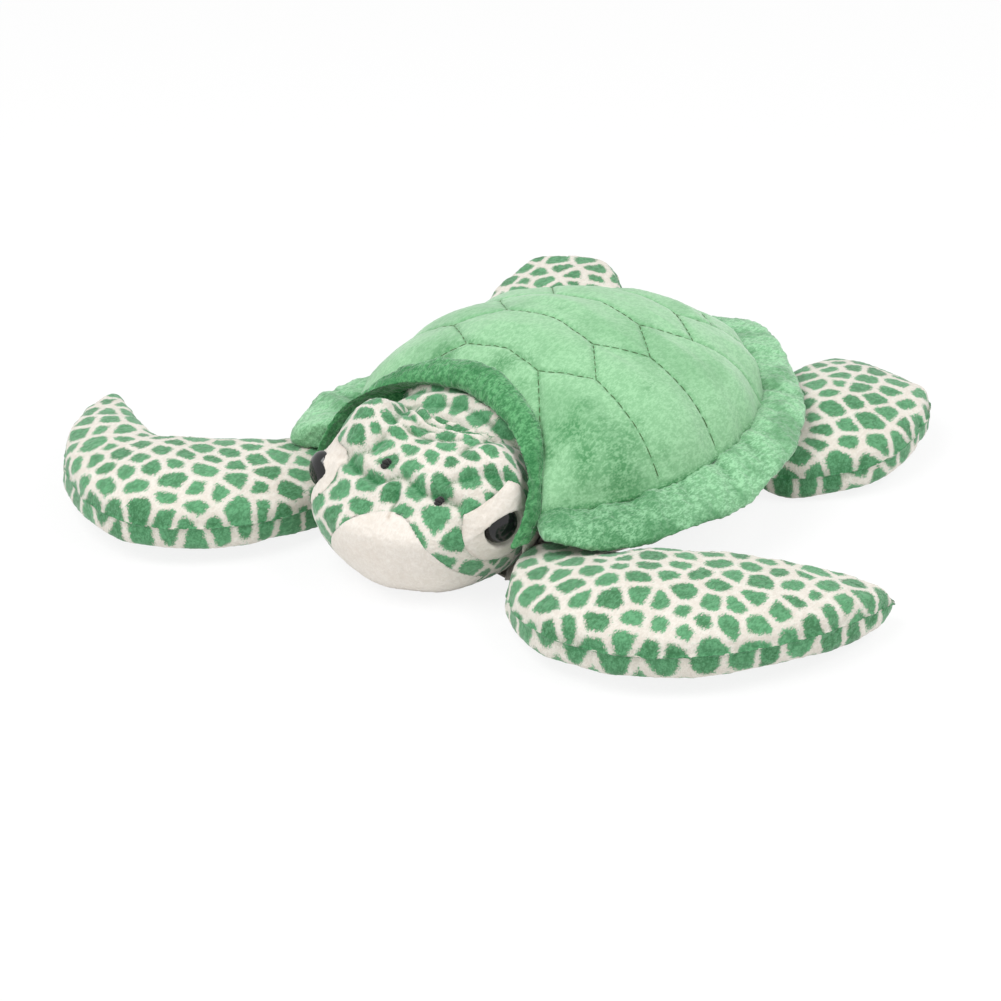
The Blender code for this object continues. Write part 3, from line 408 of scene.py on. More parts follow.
# Sewing of the flippers: the side seam's height, its pinch and gathers, and how full the panels are
FLIPPER_STEP = MESH_STEP * 0.95
FLIPPER_SEAM_SHARE = 0.54
FLIPPER_LEAST_REACH = 0.5 * MM
SEAM_PINCH = 1.5 * MM
SEAM_PINCH_REACH = 3.5 * MM
SEAM_LEVEL_REACH = 1.6 * MM
PUCKER_HEIGHT = 1.76 * MM
PUCKER_LENGTH = 7 * MM
PUCKER_REACH = 8 * MM
PUCKER_SIDES_APART = 90 * MM
PANEL_INSIDE = 10 * MM
PANEL_LUMP = 1.4 * MM
PANEL_LUMP_LENGTH = 24 * MM
PANEL_LUMP_EDGE = 10 * MM
PANEL_FULL_EDGE = 9 * MM
# Fullness over the whole panel and in a band beside the seam, of the top and of the bottom panel
PANEL_FULLNESS = {"top": (1.2 * MM, 0.8 * MM), "bottom": (1.8 * MM, 3.0 * MM)}
PANEL_BAND_MIDDLE = 8 * MM
PANEL_BAND_REACH = 5 * MM
ROOT_FADE_START = 8 * MM
ROOT_FADE_END = 22 * MM
TIP_CLOSING_REACH = 1.4 * MM

# Camera, fitted to the photograph, and the stage
CAMERA_AZIMUTH = math.radians(41.5)
CAMERA_ELEVATION = math.radians(26)
CAMERA_DISTANCE = 1.10
CAMERA_AIM_HEIGHT = 40 * MM
PICTURE_SIZE = 1001
AIM_COLUMN = 577
AIM_ROW = 400
FOCAL_PIXELS = 2387
SENSOR_WIDTH = 36.0
FLOOR_SIZE = 6.0
FLOOR_WHITE_SHARE = 0.86
SKY_STRENGTH = 0.62
# Lamps: azimuth and elevation in degrees, distance and size in metres, and power in watts
LAMPS = {
    "key_lamp": (-18, 58, 1.5, 0.9, 14.5),
    "side_lamp": (112, 48, 1.6, 0.8, 10.5),
}
LAMP_AIM = Vector((0.0, 0.0, 0.03))

NECK_CENTRE = Vector((0.0, -NECK_FORWARD, NECK_HEIGHT))
HEAD_FRAME = Matrix.Translation(NECK_CENTRE) @ Matrix.Rotation(HEAD_TURN, 4, "Z")
HEAD_ROOM = np.array((HEAD_WIDTH / 2 + HEAD_PLAY_SIDE, HEAD_BACK + HEAD_PLAY_BACK,
                      (HEAD_CROWN + HEAD_CHIN) / 2 + HEAD_PLAY_UP))
UP = np.array((0.0, 0.0, 1.0))
SIDES = {"left": 1, "right": -1}


def linear(*display):
    """A linear colour from a display colour of 0 to 255."""
    shares = [part / 255 for part in display]
    return tuple(share / 12.92 if share <= 0.04045 else ((share + 0.055) / 1.055) ** 2.4
                 for share in shares)


class TurtleColours(bpy.types.PropertyGroup):
    """Colours of the fabrics, the eyes and the thread."""

    shell: bpy.props.FloatVectorProperty(
        name="Shell", description="Smooth plush of the shell", subtype="COLOR", size=3,
        min=0.0, max=1.0, default=linear(149, 197, 153))
    # Also the painted shade of the shell: its stitched lines, its seam and the shade patches beside the
    # collar
    shell_pile_and_shade: bpy.props.FloatVectorProperty(
        name="Shell, brushed", description="Shell plush where its pile lies the other way",
        subtype="COLOR", size=3, min=0.0, max=1.0, default=linear(62, 128, 76))
    rim: bpy.props.FloatVectorProperty(
        name="Rim", description="Fluffy plush of the rim", subtype="COLOR", size=3,
        min=0.0, max=1.0, default=linear(150, 203, 158))
    # Also the painted shade of the rim: the troughs of its gathers, its seam and its near front
    rim_pile_and_shade: bpy.props.FloatVectorProperty(
        name="Rim, brushed", description="Rim plush where its pile parts", subtype="COLOR", size=3,
        min=0.0, max=1.0, default=linear(44, 112, 62))
    collar: bpy.props.FloatVectorProperty(
        name="Collar", description="Longer plush of the collar", subtype="COLOR", size=3,
        min=0.0, max=1.0, default=linear(98, 164, 110))
    # Also the painted shade over the lining under the collar
    collar_pile_and_shade: bpy.props.FloatVectorProperty(
        name="Collar, brushed", description="Collar plush where its pile parts", subtype="COLOR",
        size=3, min=0.0, max=1.0, default=linear(38, 106, 58))
    spot: bpy.props.FloatVectorProperty(
        name="Spots", description="Printed spots on head and flippers", subtype="COLOR", size=3,
        min=0.0, max=1.0, default=linear(90, 158, 111))
    # Also the painted shade of the spotted plush: creases and folds of the head and neck, and the flippers'
    # seams and gathers
    spot_pile_and_shade: bpy.props.FloatVectorProperty(
        name="Spots, brushed", description="Spots where the pile parts", subtype="COLOR", size=3,
        min=0.0, max=1.0, default=linear(34, 103, 58))
    cream: bpy.props.FloatVectorProperty(
        name="Cream", description="Ground of the spotted plush, muzzle and belly",
        subtype="COLOR", size=3, min=0.0, max=1.0, default=linear(223, 217, 209))
    # Also the painted shade of the creases and seams over the muzzle and the eye patches
    cream_pile_and_shade: bpy.props.FloatVectorProperty(
        name="Cream, shaded", description="Cream plush between its tufts", subtype="COLOR", size=3,
        min=0.0, max=1.0, default=linear(188, 174, 158))
    eye: bpy.props.FloatVectorProperty(
        name="Eyes", description="Black plastic of the eyes", subtype="COLOR", size=3,
        min=0.0, max=1.0, default=linear(20, 20, 22))
    thread: bpy.props.FloatVectorProperty(
        name="Quilting thread", description="Thread of the shell's stitches", subtype="COLOR",
        size=3, min=0.0, max=1.0, default=linear(72, 104, 50))
    knot: bpy.props.FloatVectorProperty(
        name="Nostril thread", description="Thread of the nostrils", subtype="COLOR", size=3,
        min=0.0, max=1.0, default=linear(26, 26, 26))


class TurtleSizes(bpy.types.PropertyGroup):
    """Sizes of the pattern and of the pile."""

    spot_spacing: bpy.props.FloatProperty(
        name="Spot spacing", description="Least distance between the middles of two spots",
        subtype="DISTANCE", unit="LENGTH", default=9.3 * MM)
    spot_gap: bpy.props.FloatProperty(
        name="Spot gap", description="Width of the cream lines between spots",
        subtype="DISTANCE", unit="LENGTH", default=1.9 * MM)
    nap_height: bpy.props.FloatProperty(
        name="Nap height", description="How far the pile's tufts stand out of the skin",
        subtype="DISTANCE", unit="LENGTH", default=0.28 * MM)
    nap_length: bpy.props.FloatProperty(
        name="Nap length", description="Distance between tufts of the pile",
        subtype="DISTANCE", unit="LENGTH", default=2.4 * MM)
    fluff_height: bpy.props.FloatProperty(
        name="Fluff height", description="How far the longer pile of the rim and the collar stands out",
        subtype="DISTANCE", unit="LENGTH", default=0.55 * MM)


def colours():
    """The scene's colours."""
    return bpy.context.scene.turtle_colours


def sizes():
    """The scene's sizes."""
    return bpy.context.scene.turtle_sizes


class Value:
    """A shader socket that takes part in arithmetic."""

    def __init__(self, maker, socket):
        self.maker = maker
        self.socket = socket

    def join(self, operation, *values):
        """The result of a Math node on these values."""
        return self.maker.node("ShaderNodeMath", {"operation": operation}, dict(enumerate(values)))

    def __add__(self, other):
        return self.join("ADD", self, other)

    def __sub__(self, other):
        return self.join("SUBTRACT", self, other)

    def __rsub__(self, other):
        return self.join("SUBTRACT", other, self)

    def __mul__(self, other):
        return self.join("MULTIPLY", self, other)

    __radd__ = __add__
    __rmul__ = __mul__


class Nodes:
    """Adds nodes to a material or to the world."""

    def __init__(self, tree):
        self.tree = tree

    def node(self, kind, settings=None, inputs=None, output=0):
        """Adds a node, makes its settings, fills its inputs and gives one of its outputs."""
        made = self.tree.nodes.new(kind)
        for setting, value in (settings or {}).items():
            setattr(made, setting, value)
        for place, value in (inputs or {}).items():
            self.fill(made.inputs[place], value)
        return Value(self, made.outputs[output])

    def fill(self, socket, value):
        """Links a value to a socket, or writes it there."""
        if isinstance(value, Value):
            self.tree.links.new(value.socket, socket)
        elif hasattr(socket.default_value, "__len__") and len(socket.default_value) == 4:
            socket.default_value = (*tuple(value)[:3], 1.0)
        else:
            socket.default_value = value

    def shown_white(self, shader, strength_share):
        """A shader mixed with plain white for what the camera, gloss and glass see."""
        camera, gloss, glass = (self.node("ShaderNodeLightPath", output="Is " + kind + " Ray")
                                for kind in ("Camera", "Glossy", "Transmission"))
        seen = camera.join("MAXIMUM", camera.join("MAXIMUM", camera, gloss), glass)
        white = self.node("ShaderNodeEmission")
        return self.node("ShaderNodeMixShader", {}, {0: seen * strength_share, 1: shader, 2: white})


class Finish(Nodes):
    """Builds the nodes of one material."""

    def __init__(self, name):
        self.material = bpy.data.materials.new(name)
        self.material.use_nodes = True
        super().__init__(self.material.node_tree)
        self.shader = self.tree.nodes["Principled BSDF"]

    def attribute(self, name, output="Fac"):
        """What the mesh stores at each point."""
        return self.node("ShaderNodeAttribute", {"attribute_name": name}, {}, output)

    def stretched(self, place, shares):
        """A place stretched along its axes."""
        settings = {"operation": "MULTIPLY"}
        return self.node("ShaderNodeVectorMath", settings, {0: place, 1: shares})

    def cloud(self, place, length, detail=2.0):
        """Noise from 0 to 1 with features of a length."""
        inputs = {"Vector": place, "Scale": 1 / length, "Detail": detail, "Roughness": 0.55}
        return self.node("ShaderNodeTexNoise", {}, inputs)

    def rising(self, value, low, high):
        """0 below a low value, 1 above a high one, smooth between."""
        inputs = {"Value": value, "From Min": low, "From Max": high}
        return self.node("ShaderNodeMapRange", {"interpolation_type": "SMOOTHSTEP"}, inputs)

    def mixed(self, share, first, second):
        """A colour between two."""
        return self.node("ShaderNodeMix", {"data_type": "RGBA"}, {0: share, 6: first, 7: second}, 2)

    def bump(self, height, strength, depth):
        """A normal roughened by a height."""
        inputs = {"Height": height, "Strength": strength, "Distance": depth}
        self.fill(self.shader.inputs["Normal"], self.node("ShaderNodeBump", {}, inputs))

    def set(self, **values):
        """Fills the shader's sockets; an underscore stands for a space."""
        for name, value in values.items():
            self.fill(self.shader.inputs[name.replace("_", " ")], value)


def plush(name, ground, deep, streak_share, patch_share, bump_share, sheen, spots=None,
          patch_length=PATCH_LENGTH):
    """Short pile: tufts, brushed patches, painted shade in its folds, creases and seams, and a soft sheen,
    with printed spots or none.
    """
    finish = Finish(name)
    place = finish.attribute("rest", "Vector")
    fold = finish.attribute("fold")
    tufts = finish.cloud(finish.stretched(place, TUFT_STRETCH_SHARES), TUFT_LENGTH)
    hairs = finish.cloud(finish.stretched(place, HAIR_STRETCH_SHARES), HAIR_LENGTH, 1.0)
    patches = finish.rising(finish.cloud(place, patch_length, 1.0), 0.46, 0.64)
    streaks = finish.rising(tufts * 0.55 + hairs * 0.45, 0.40, 0.62)
    shade = finish.mixed((1 - streaks) * streak_share, ground, deep)
    shade = finish.mixed(patches * patch_share, shade, deep)
    if spots:
        spot, spot_pile_and_shade = spots
        edge = finish.attribute("spot")
        tone = finish.attribute("tone")
        frayed = edge + (hairs - 0.5) * HAIR_FRAYING + (tufts - 0.5) * TUFT_FRAYING
        half_gap = sizes().spot_gap / 2
        inside = finish.rising(frayed, half_gap - SPOT_EDGE_INSIDE, half_gap + SPOT_EDGE_OUTSIDE)
        print_shade = finish.mixed((1 - streaks) * 0.55 + tone * 0.4, spot, spot_pile_and_shade)
        shade = finish.mixed(inside * 0.91 + 0.05, shade, print_shade)
    # Painted shade: folds, creases, seams and gathers darkened towards the deep colour, less on the tufts
    shade = finish.mixed(fold * (1.05 - 0.6 * streaks), shade, spots[1] if spots else deep)
    finish.set(Base_Color=shade, Roughness=0.85 + 0.1 * (1 - tufts), Sheen_Weight=sheen,
               Sheen_Roughness=0.45, Sheen_Tint=(1.0, 1.0, 1.0), Specular_IOR_Level=0.15)
    finish.bump(tufts * 0.6 + hairs * 0.4, bump_share, BUMP_DEPTH)
    return finish.material


def darker(shade, share):
    """A colour with each part at a share of its strength."""
    return [part * share for part in shade]


def plastic(name, shade, roughness):
    """Moulded plastic with faint handling marks."""
    finish = Finish(name)
    marks = finish.cloud(finish.attribute("rest", "Vector"), MARK_LENGTH)
    finish.set(Base_Color=finish.mixed(marks * 0.2, shade, darker(shade, 0.6)),
               Roughness=roughness + marks * 0.05)
    finish.bump(marks, 0.04, MARK_DEPTH)
    return finish.material


def fibre(name, shade, deep, length):
    """Loose fibre, thread or plain cloth, fine and matt."""
    finish = Finish(name)
    place = finish.node("ShaderNodeTexCoord", {}, {}, "Object")
    strands = finish.cloud(finish.stretched(place, (1.0, 0.3, 1.0)), length, 3.0)
    finish.set(Base_Color=finish.mixed(strands, deep, shade), Roughness=0.8 + 0.15 * strands,
               Sheen_Weight=0.2)
    finish.bump(strands, 0.6, length)
    return finish.material


def looks_collection():
    """The collection that holds the made pieces."""
    found = bpy.data.collections.get("plush_turtle_looks")
    if not found:
        found = bpy.data.collections.new("plush_turtle_looks")
        bpy.context.scene.collection.children.link(found)
    return found


def bell(values, width):
    """1 at zero, falling smoothly to nothing some widths away."""
    return np.exp(-(values / width) ** 2)


def unit(vector):
    """The direction of a vector, as a vector of length 1."""
    return vector / np.linalg.norm(vector)


def spline(points, runs, closed=False):
    """Points of a uniform cubic spline along an array's first axis."""
    if closed:
        padded = np.concatenate((points[-1:], points, points[:3]))
        spans = len(points)
    else:
        before, after = 2 * points[:1] - points[1:2], 2 * points[-1:] - points[-2:-1]
        padded = np.concatenate((before, points, after))
        spans = len(points) - 1
    index = np.clip(np.floor(runs).astype(int), 0, spans - 1)
    t = (runs - index).reshape(-1, *([1] * (points.ndim - 1)))
    shares = ((1 - t) ** 3, 3 * t ** 3 - 6 * t ** 2 + 4, -3 * t ** 3 + 3 * t ** 2 + 3 * t + 1, t ** 3)
    return sum(share * padded[index + step] for step, share in enumerate(shares)) / 6


def even_runs(points, step, closed=False):
    """Runs along a spline that lie about a step apart on its longest column."""
    spans = len(points) if closed else len(points) - 1
    dense = np.linspace(0, spans, 30 * spans + 1)
    lengths = np.linalg.norm(np.diff(spline(points, dense, closed), axis=0), axis=-1)
    travelled = np.concatenate(([0.0], np.cumsum(lengths.mean(axis=1))))
    count = int(np.ceil(lengths.sum(axis=0).max() / step))
    return np.interp(np.linspace(0, travelled[-1], count + 1), travelled, dense)


def surface(controls, step, closed=False):
    """A dense grid of points over rows of control points."""
    controls = np.array(controls, float)
    rows = spline(controls, even_runs(controls, step))
    columns = np.swapaxes(controls, 0, 1)
    across = even_runs(columns, step, closed)
    if closed:
        across = across[:-1]
    return np.swapaxes(spline(np.swapaxes(rows, 0, 1), across, closed), 0, 1)


def grid_faces(rows, columns, closed=False):
    """Quads over a grid of corners that are numbered row by row."""
    row, column = np.meshgrid(np.arange(rows - 1), np.arange(columns - (not closed)), indexing="ij")
    after = (column + 1) % columns
    corners = (row * columns + column, row * columns + after,
               (row + 1) * columns + after, (row + 1) * columns + column)
    return np.stack(corners, axis=-1).reshape(-1, 4)


def summed(owners, values, count):
    """Rows of values, added up for each of their owners."""
    return np.column_stack([np.bincount(owners, column, count) for column in values.T])


def normals_of(places, faces):
    """Normals at the corners of quads."""
    a, b, c, d = (places[faces[:, corner]] for corner in range(4))
    flat = np.cross(c - a, d - b)
    total = sum(summed(faces[:, corner], flat, len(places)) for corner in range(4))
    return total / np.maximum(np.linalg.norm(total, axis=1, keepdims=True), 1e-15)


def ripple(places, length, seed):
    """Smooth noise of about -1 to 1 at each place, with features of a length."""
    shift = Vector((seed * 3.7, seed * 1.3, -seed * 2.9))
    return np.array([noise.noise(Vector(place) / length + shift) for place in places])


def smooth_step(values, low, high):
    """0 below low, 1 above high, smooth between."""
    share = np.clip((values - low) / (high - low), 0.0, 1.0)
    return share * share * (3 - 2 * share)


def laid_path(path, places):
    """A run of points, filled in and laid on the nearest corners of a surface."""
    filled = []
    for start, end in zip(path, path[1:]):
        count = max(1, int(np.linalg.norm(end - start) / PATH_STEP))
        for part in range(count):
            filled.append(start + (end - start) * part / count)
    filled.append(path[-1])
    laid = []
    for place in filled:
        nearest = places[np.argmin(np.sum((places - place) ** 2, axis=1))]
        laid.append(place * 0.15 + nearest * 0.85)
    return np.array(laid)


def distance_to(places, path):
    """Each place's distance to a run of points."""
    least = np.full(len(places), np.inf)
    for start, end in zip(path, path[1:]):
        ahead = end - start
        share = np.clip((places - start) @ ahead / max(ahead @ ahead, 1e-15), 0, 1)
        gap = np.linalg.norm(places - start - share[:, None] * ahead, axis=1)
        least = np.minimum(least, gap)
    return least


def spot_edges(places, seed):
    """Each place's distance inwards from the edge of its spot, and a number for its spot's shade."""
    spacing = sizes().spot_spacing
    dice = np.random.default_rng(seed)
    order = dice.permutation(len(places))[:DARTS]
    middles = places[order[:1]]
    for place in places[order]:
        if np.min(np.sum((middles - place) ** 2, axis=1)) > spacing ** 2:
            middles = np.vstack((middles, place))
    swell = dice.random(len(middles)) * (SPOT_SWELL_SHARE * spacing) ** 2
    square = (np.sum(places ** 2, axis=1)[:, None] - 2 * places @ middles.T
              + np.sum(middles ** 2, axis=1) - swell)
    nearest = np.argsort(square, axis=1)[:, :NEAREST_SPOTS]
    own = nearest[:, 0]
    rows = np.arange(len(places))
    crowd = np.zeros(len(places))
    for other in range(1, min(NEAREST_SPOTS, len(middles))):
        across = np.linalg.norm(middles[nearest[:, other]] - middles[own], axis=1)
        inward = (square[rows, nearest[:, other]] - square[rows, own]) / (2 * across)
        crowd += np.exp(-inward / SPOT_CORNER)
    narrowing = dice.random(len(middles)) * SPOT_NARROWING
    edges = -SPOT_CORNER * np.log(np.maximum(crowd, 1e-12)) - narrowing[own]
    return edges, dice.random(len(middles))[own]


def turned_outwards(places, faces, middle):
    """Faces whose corners run so that most of them face away from a middle."""
    facing = np.sum(normals_of(places, faces) * (places - middle))
    return faces if facing > 0 else faces[:, ::-1]


def add_piece(name, places, faces, material, body, values=None, thickness=CLOTH):
    """A piece from corners and faces, welded, given its thickness and set to ride on its body."""
    mesh = bpy.data.meshes.new(name)
    mesh.from_pydata(places.tolist(), [], faces.tolist())
    # Every piece carries a painted shade value at each corner, none unless given
    layers = {"rest": places, "fold": np.zeros(len(places))}
    layers.update(values or {})
    for label, numbers in layers.items():
        kind, field = ("FLOAT_VECTOR", "vector") if numbers.ndim == 2 else ("FLOAT", "value")
        layer = mesh.attributes.new(label, kind, "POINT")
        layer.data.foreach_set(field, numbers.astype(np.float32).ravel())
    sheet = bmesh.new()
    sheet.from_mesh(mesh)
    bmesh.ops.remove_doubles(sheet, verts=sheet.verts, dist=WELD)
    bmesh.ops.dissolve_degenerate(sheet, edges=sheet.edges, dist=WELD / 10)
    loose = [corner for corner in sheet.verts if not corner.link_faces]
    bmesh.ops.delete(sheet, geom=loose, context="VERTS")
    sheet.to_mesh(mesh)
    sheet.free()
    mesh.shade_smooth()
    mesh.materials.append(material)
    piece = bpy.data.objects.new(name, mesh)
    looks_collection().objects.link(piece)
    if thickness:
        fabric = piece.modifiers.new("Fabric", "SOLIDIFY")
        fabric.thickness = thickness
        fabric.offset = -1.0
        made = bpy.data.meshes.new_from_object(
            piece.evaluated_get(bpy.context.evaluated_depsgraph_get()))
        piece.modifiers.clear()
        piece.data = made
    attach(piece, body)
    return piece


def nap(places, faces, seed, height=None):
    """Places moved along their normals by the tufts of the pile, plain ones or of a height."""
    height = height or sizes().nap_height
    length = sizes().nap_length
    tufts = ripple(places, length, seed) + 0.5 * ripple(places, length / 2, seed + 5)
    return places + normals_of(places, faces) * (height * tufts)[:, None]


def out_of_oval(places, centre, half_sizes):
    """Places inside an oval moved straight out to its surface."""
    inward = (places - centre) / half_sizes
    reach = np.linalg.norm(inward, axis=1)
    inside = reach < 1
    moved = places.copy()
    moved[inside] = centre + inward[inside] / np.maximum(reach[inside], 1e-6)[:, None] * half_sizes
    return moved


def out_of_neck(places):
    """Places moved out of the room in which the head and the neck turn."""
    centre = np.array(NECK_CENTRE)
    places = out_of_oval(places, centre, np.full(3, NECK_RADIUS + CLOTH))
    return out_of_oval(places, centre - np.array((0, HEAD_REACH, 0)), HEAD_ROOM)


def dome_arch(station):
    """One arch of the shell from its left seam to its right seam."""
    length_share, width_share, height_share = station
    lean = FRONT_LEAN * max(0.0, 1 - length_share / DOME_STATION_SHARES[2][0])
    arch = []
    for step in range(ARCH_STEPS + 1):
        angle = math.pi * step / ARCH_STEPS
        rise = math.sin(angle) if 0 < step < ARCH_STEPS else 0.0
        arch.append((
            DOME_WIDTH / 2 * width_share * math.cos(angle),
            -SHELL_FRONT + SHELL_LENGTH * length_share + lean * rise,
            SEAM_HEIGHT + DOME_HEIGHT * height_share * rise))
    return arch


def belly_curve(station):
    """The underside below one arch, from the left seam under the belly to the right seam."""
    length_share, width_share, _ = station
    left = []
    for side_share, height_share in BELLY_SECTION_SHARES:
        level = SEAM_HEIGHT - (SEAM_HEIGHT + FLOOR_CUT) * (1 - height_share)
        if width_share == 0:
            level = SEAM_HEIGHT
        pull = (1 - height_share) * SHELL_LENGTH * (0.5 - length_share) / 8
        left.append((
            DOME_WIDTH / 2 * width_share * side_share,
            -SHELL_FRONT + SHELL_LENGTH * length_share + pull * (length_share > 0),
            level))
    return left + [(-x, y, z) for x, y, z in reversed(left[:-1])]


def seam_place(turn_share):
    """A point of the shell's seam, at a share of the way from its left front round to its right."""
    last = len(DOME_STATION_SHARES) - 1
    run = 2 * last * turn_share
    side = 1.0 if run <= last else -1.0
    run = run if run <= last else 2 * last - run
    index = min(int(run), last - 1)
    blend = run - index
    near, far = DOME_STATION_SHARES[index], DOME_STATION_SHARES[index + 1]
    before = DOME_STATION_SHARES[max(index - 1, 0)]
    after = DOME_STATION_SHARES[min(index + 2, last)]

    def smooth(column):
        a, b, c, d = before[column], near[column], far[column], after[column]
        return b + blend * ((c - a) + blend * (2 * a - 5 * b + 4 * c - d
                                               + blend * (3 * (b - c) + d - a))) / 2
    width = max(smooth(1), 0.0) * DOME_WIDTH / 2
    return Vector((side * width, -SHELL_FRONT + SHELL_LENGTH * smooth(0), SEAM_HEIGHT))


def quilt_paths():
    """The stitched lines over the shell, in plan: a zigzag down each side, cross lines, side lines."""
    def placed(shares, side):
        return np.array((side * shares[0] * DOME_WIDTH / 2, -SHELL_FRONT + shares[1] * SHELL_LENGTH))
    paths = []
    for side in (1, -1):
        corners = [placed(shares, side) for shares in QUILT_CORNER_SHARES]
        paths.append(corners)
        for index, foot in QUILT_FOOT_SHARES.items():
            paths.append([corners[index], placed(foot, side)])
    for corner in QUILT_CORNER_SHARES[::2]:
        bow = (0.0, corner[1] + QUILT_BOW_SHARE)
        paths.append([placed(corner, 1), placed(bow, 1), placed(corner, -1)])
    return paths


def flat_distance(places, paths):
    """Each place's distance in plan to the nearest of some lines."""
    level = places.copy()
    level[:, 2] = 0
    least = np.full(len(places), np.inf)
    for path in paths:
        run = [np.append(corner, 0.0) for corner in path]
        least = np.minimum(least, distance_to(level, run))
    return least


class TURTLE_OT_stage(bpy.types.Operator):
    """Sets the camera, the soft lights and the pale floor"""

    bl_idname = "turtle.stage"
    bl_label = "Stage"

    def execute(self, context):
        """Adds the floor, the world, the lamps and the camera."""
        scene = context.scene
        scene.view_settings.view_transform = "Standard"
        make_floor()
        make_world(scene)
        for name, lamp in LAMPS.items():
            add_lamp(name, *lamp)
        make_camera(scene)
        return {"FINISHED"}


def make_floor():
    """A pale floor that shows almost white and keeps a faint shadow."""
    half = FLOOR_SIZE / 2
    mesh = bpy.data.meshes.new("studio_floor")
    mesh.from_pydata([(-half, -half, 0), (half, -half, 0), (half, half, 0), (-half, half, 0)], [],
                     [(0, 1, 2, 3)])
    floor = bpy.data.objects.new("studio_floor", mesh)
    bpy.context.scene.collection.objects.link(floor)
    finish = Finish("studio_white")
    finish.set(Base_Color=linear(240, 240, 240), Roughness=0.95, Specular_IOR_Level=0.0)
    shown = finish.shown_white(Value(finish, finish.shader.outputs[0]), FLOOR_WHITE_SHARE)
    finish.fill(finish.tree.nodes["Material Output"].inputs["Surface"], shown)
    mesh.materials.append(finish.material)


def make_world(scene):
    """Even pale light from all round, which shows white."""
    world = bpy.data.worlds.new("studio_light")
    world.use_nodes = True
    scene.world = world
    maker = Nodes(world.node_tree)
    sky = maker.tree.nodes["Background"]
    sky.inputs["Color"].default_value = (1.0, 1.0, 1.0, 1.0)
    sky.inputs["Strength"].default_value = SKY_STRENGTH
    shown = maker.shown_white(Value(maker, sky.outputs[0]), 1.0)
    maker.fill(maker.tree.nodes["World Output"].inputs["Surface"], shown)


def add_lamp(name, azimuth, elevation, away, size, power):
    """A square soft lamp that looks at the toy."""
    light = bpy.data.lights.new(name, "AREA")
    light.shape = "SQUARE"
    light.size = size
    light.energy = power
    lamp = bpy.data.objects.new(name, light)
    bpy.context.scene.collection.objects.link(lamp)
    angle, rise = math.radians(azimuth), math.radians(elevation)
    back = Vector((math.sin(angle) * math.cos(rise), -math.cos(angle) * math.cos(rise), math.sin(rise)))
    lamp.location = LAMP_AIM + back * away
    lamp.rotation_euler = back.to_track_quat("Z", "Y").to_euler()


def make_camera(scene):
    """The camera, fitted to the photograph and turned so that the toy stands where it does there."""
    across = np.array((math.cos(CAMERA_AZIMUTH), math.sin(CAMERA_AZIMUTH), 0.0))
    level = math.cos(CAMERA_ELEVATION)
    back = np.array((math.sin(CAMERA_AZIMUTH) * level, -math.cos(CAMERA_AZIMUTH) * level,
                     math.sin(CAMERA_ELEVATION)))
    basis = Matrix(np.array((across, np.cross(back, across), back)).T.tolist())
    middle = PICTURE_SIZE / 2
    wanted = Vector(((AIM_COLUMN - middle) / FOCAL_PIXELS, -(AIM_ROW - middle) / FOCAL_PIXELS, -1.0))
    turn = Vector((0, 0, -1)).rotation_difference(wanted).to_matrix()
    camera = bpy.data.cameras.new("photo_camera")
    camera.sensor_width = SENSOR_WIDTH
    camera.lens = FOCAL_PIXELS / PICTURE_SIZE * SENSOR_WIDTH
    camera.clip_start = CAMERA_DISTANCE / 100
    holder = bpy.data.objects.new("photo_camera", camera)
    scene.collection.objects.link(holder)
    place = Vector((0, 0, CAMERA_AIM_HEIGHT)) + Vector(back.tolist()) * CAMERA_DISTANCE
    holder.matrix_world = Matrix.Translation(place) @ (basis @ turn.transposed()).to_4x4()
    scene.camera = holder


class TURTLE_OT_shell(bpy.types.Operator):
    """Makes the quilted top of the shell with its rows of stitches"""

    bl_idname = "turtle.shell"
    bl_label = "Shell"

    def execute(self, context):
        """Puffs the panels, presses the stitched lines in and sews them."""
        grid = hemmed(surface([dome_arch(station) for station in DOME_STATION_SHARES], DOME_STEP))
        faces = grid_faces(*grid.shape[:2])
        places = grid.reshape(-1, 3)
        faces = turned_outwards(places, faces, np.array((0, 0, SEAM_HEIGHT)))
        paths = quilt_paths()
        off_line = flat_distance(places, paths)
        off_seam = places[:, 2] - SEAM_HEIGHT
        puff = QUILT_PUFF * (1 - bell(off_line, QUILT_PUFF_REACH))
        puff *= smooth_step(off_seam, 0, QUILT_PUFF_REACH)
        groove = QUILT_DEPTH * bell(off_line, QUILT_GROOVE) * (off_seam > SKIN)
        swell = DOME_SWELL * ripple(places, DOME_SWELL_LENGTH, 2)
        push = DOME_LIFT + puff - groove + swell + crease_from_stitches(places, off_line)
        push = np.maximum(push, DOME_LEAST_LIFT)
        places = places + normals_of(places, faces) * push[:, None]
        places = nap(places, faces, 1, sizes().nap_height * 0.5)
        places = out_of_neck(places)
        # Painted shade along the stitched lines and the seam, and in the patches beside the collar and
        # along the lower front
        fold = np.maximum(bell(off_line, STITCH_SHADE_WIDTH) * 0.5, bell(off_seam, SEAM_SHADE_WIDTH))
        fold = np.maximum(fold, painted_shade_patches(places))
        material = plush("shell_plush_look", colours().shell, colours().shell_pile_and_shade, streak_share=0.3,
                         patch_share=0.24, bump_share=0.45, sheen=0.45)
        dome = add_piece("shell_dome_plush", places, faces, material, "shell",
                         {"fold": fold})
        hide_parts("shell_dome")
        sew_quilting(dome, paths)
        return {"FINISHED"}


def hemmed(grid):
    """A grid with its side edges turned in and down, behind the seam."""
    inward = np.array((HEM_IN, 0, 0))
    down = np.array((0, 0, HEM_DOWN))
    first = grid[:, :1] - np.sign(grid[:, :1, :1]) * inward - down
    last = grid[:, -1:] - np.sign(grid[:, -1:, :1]) * inward - down
    return np.concatenate((first, grid, last), axis=1)


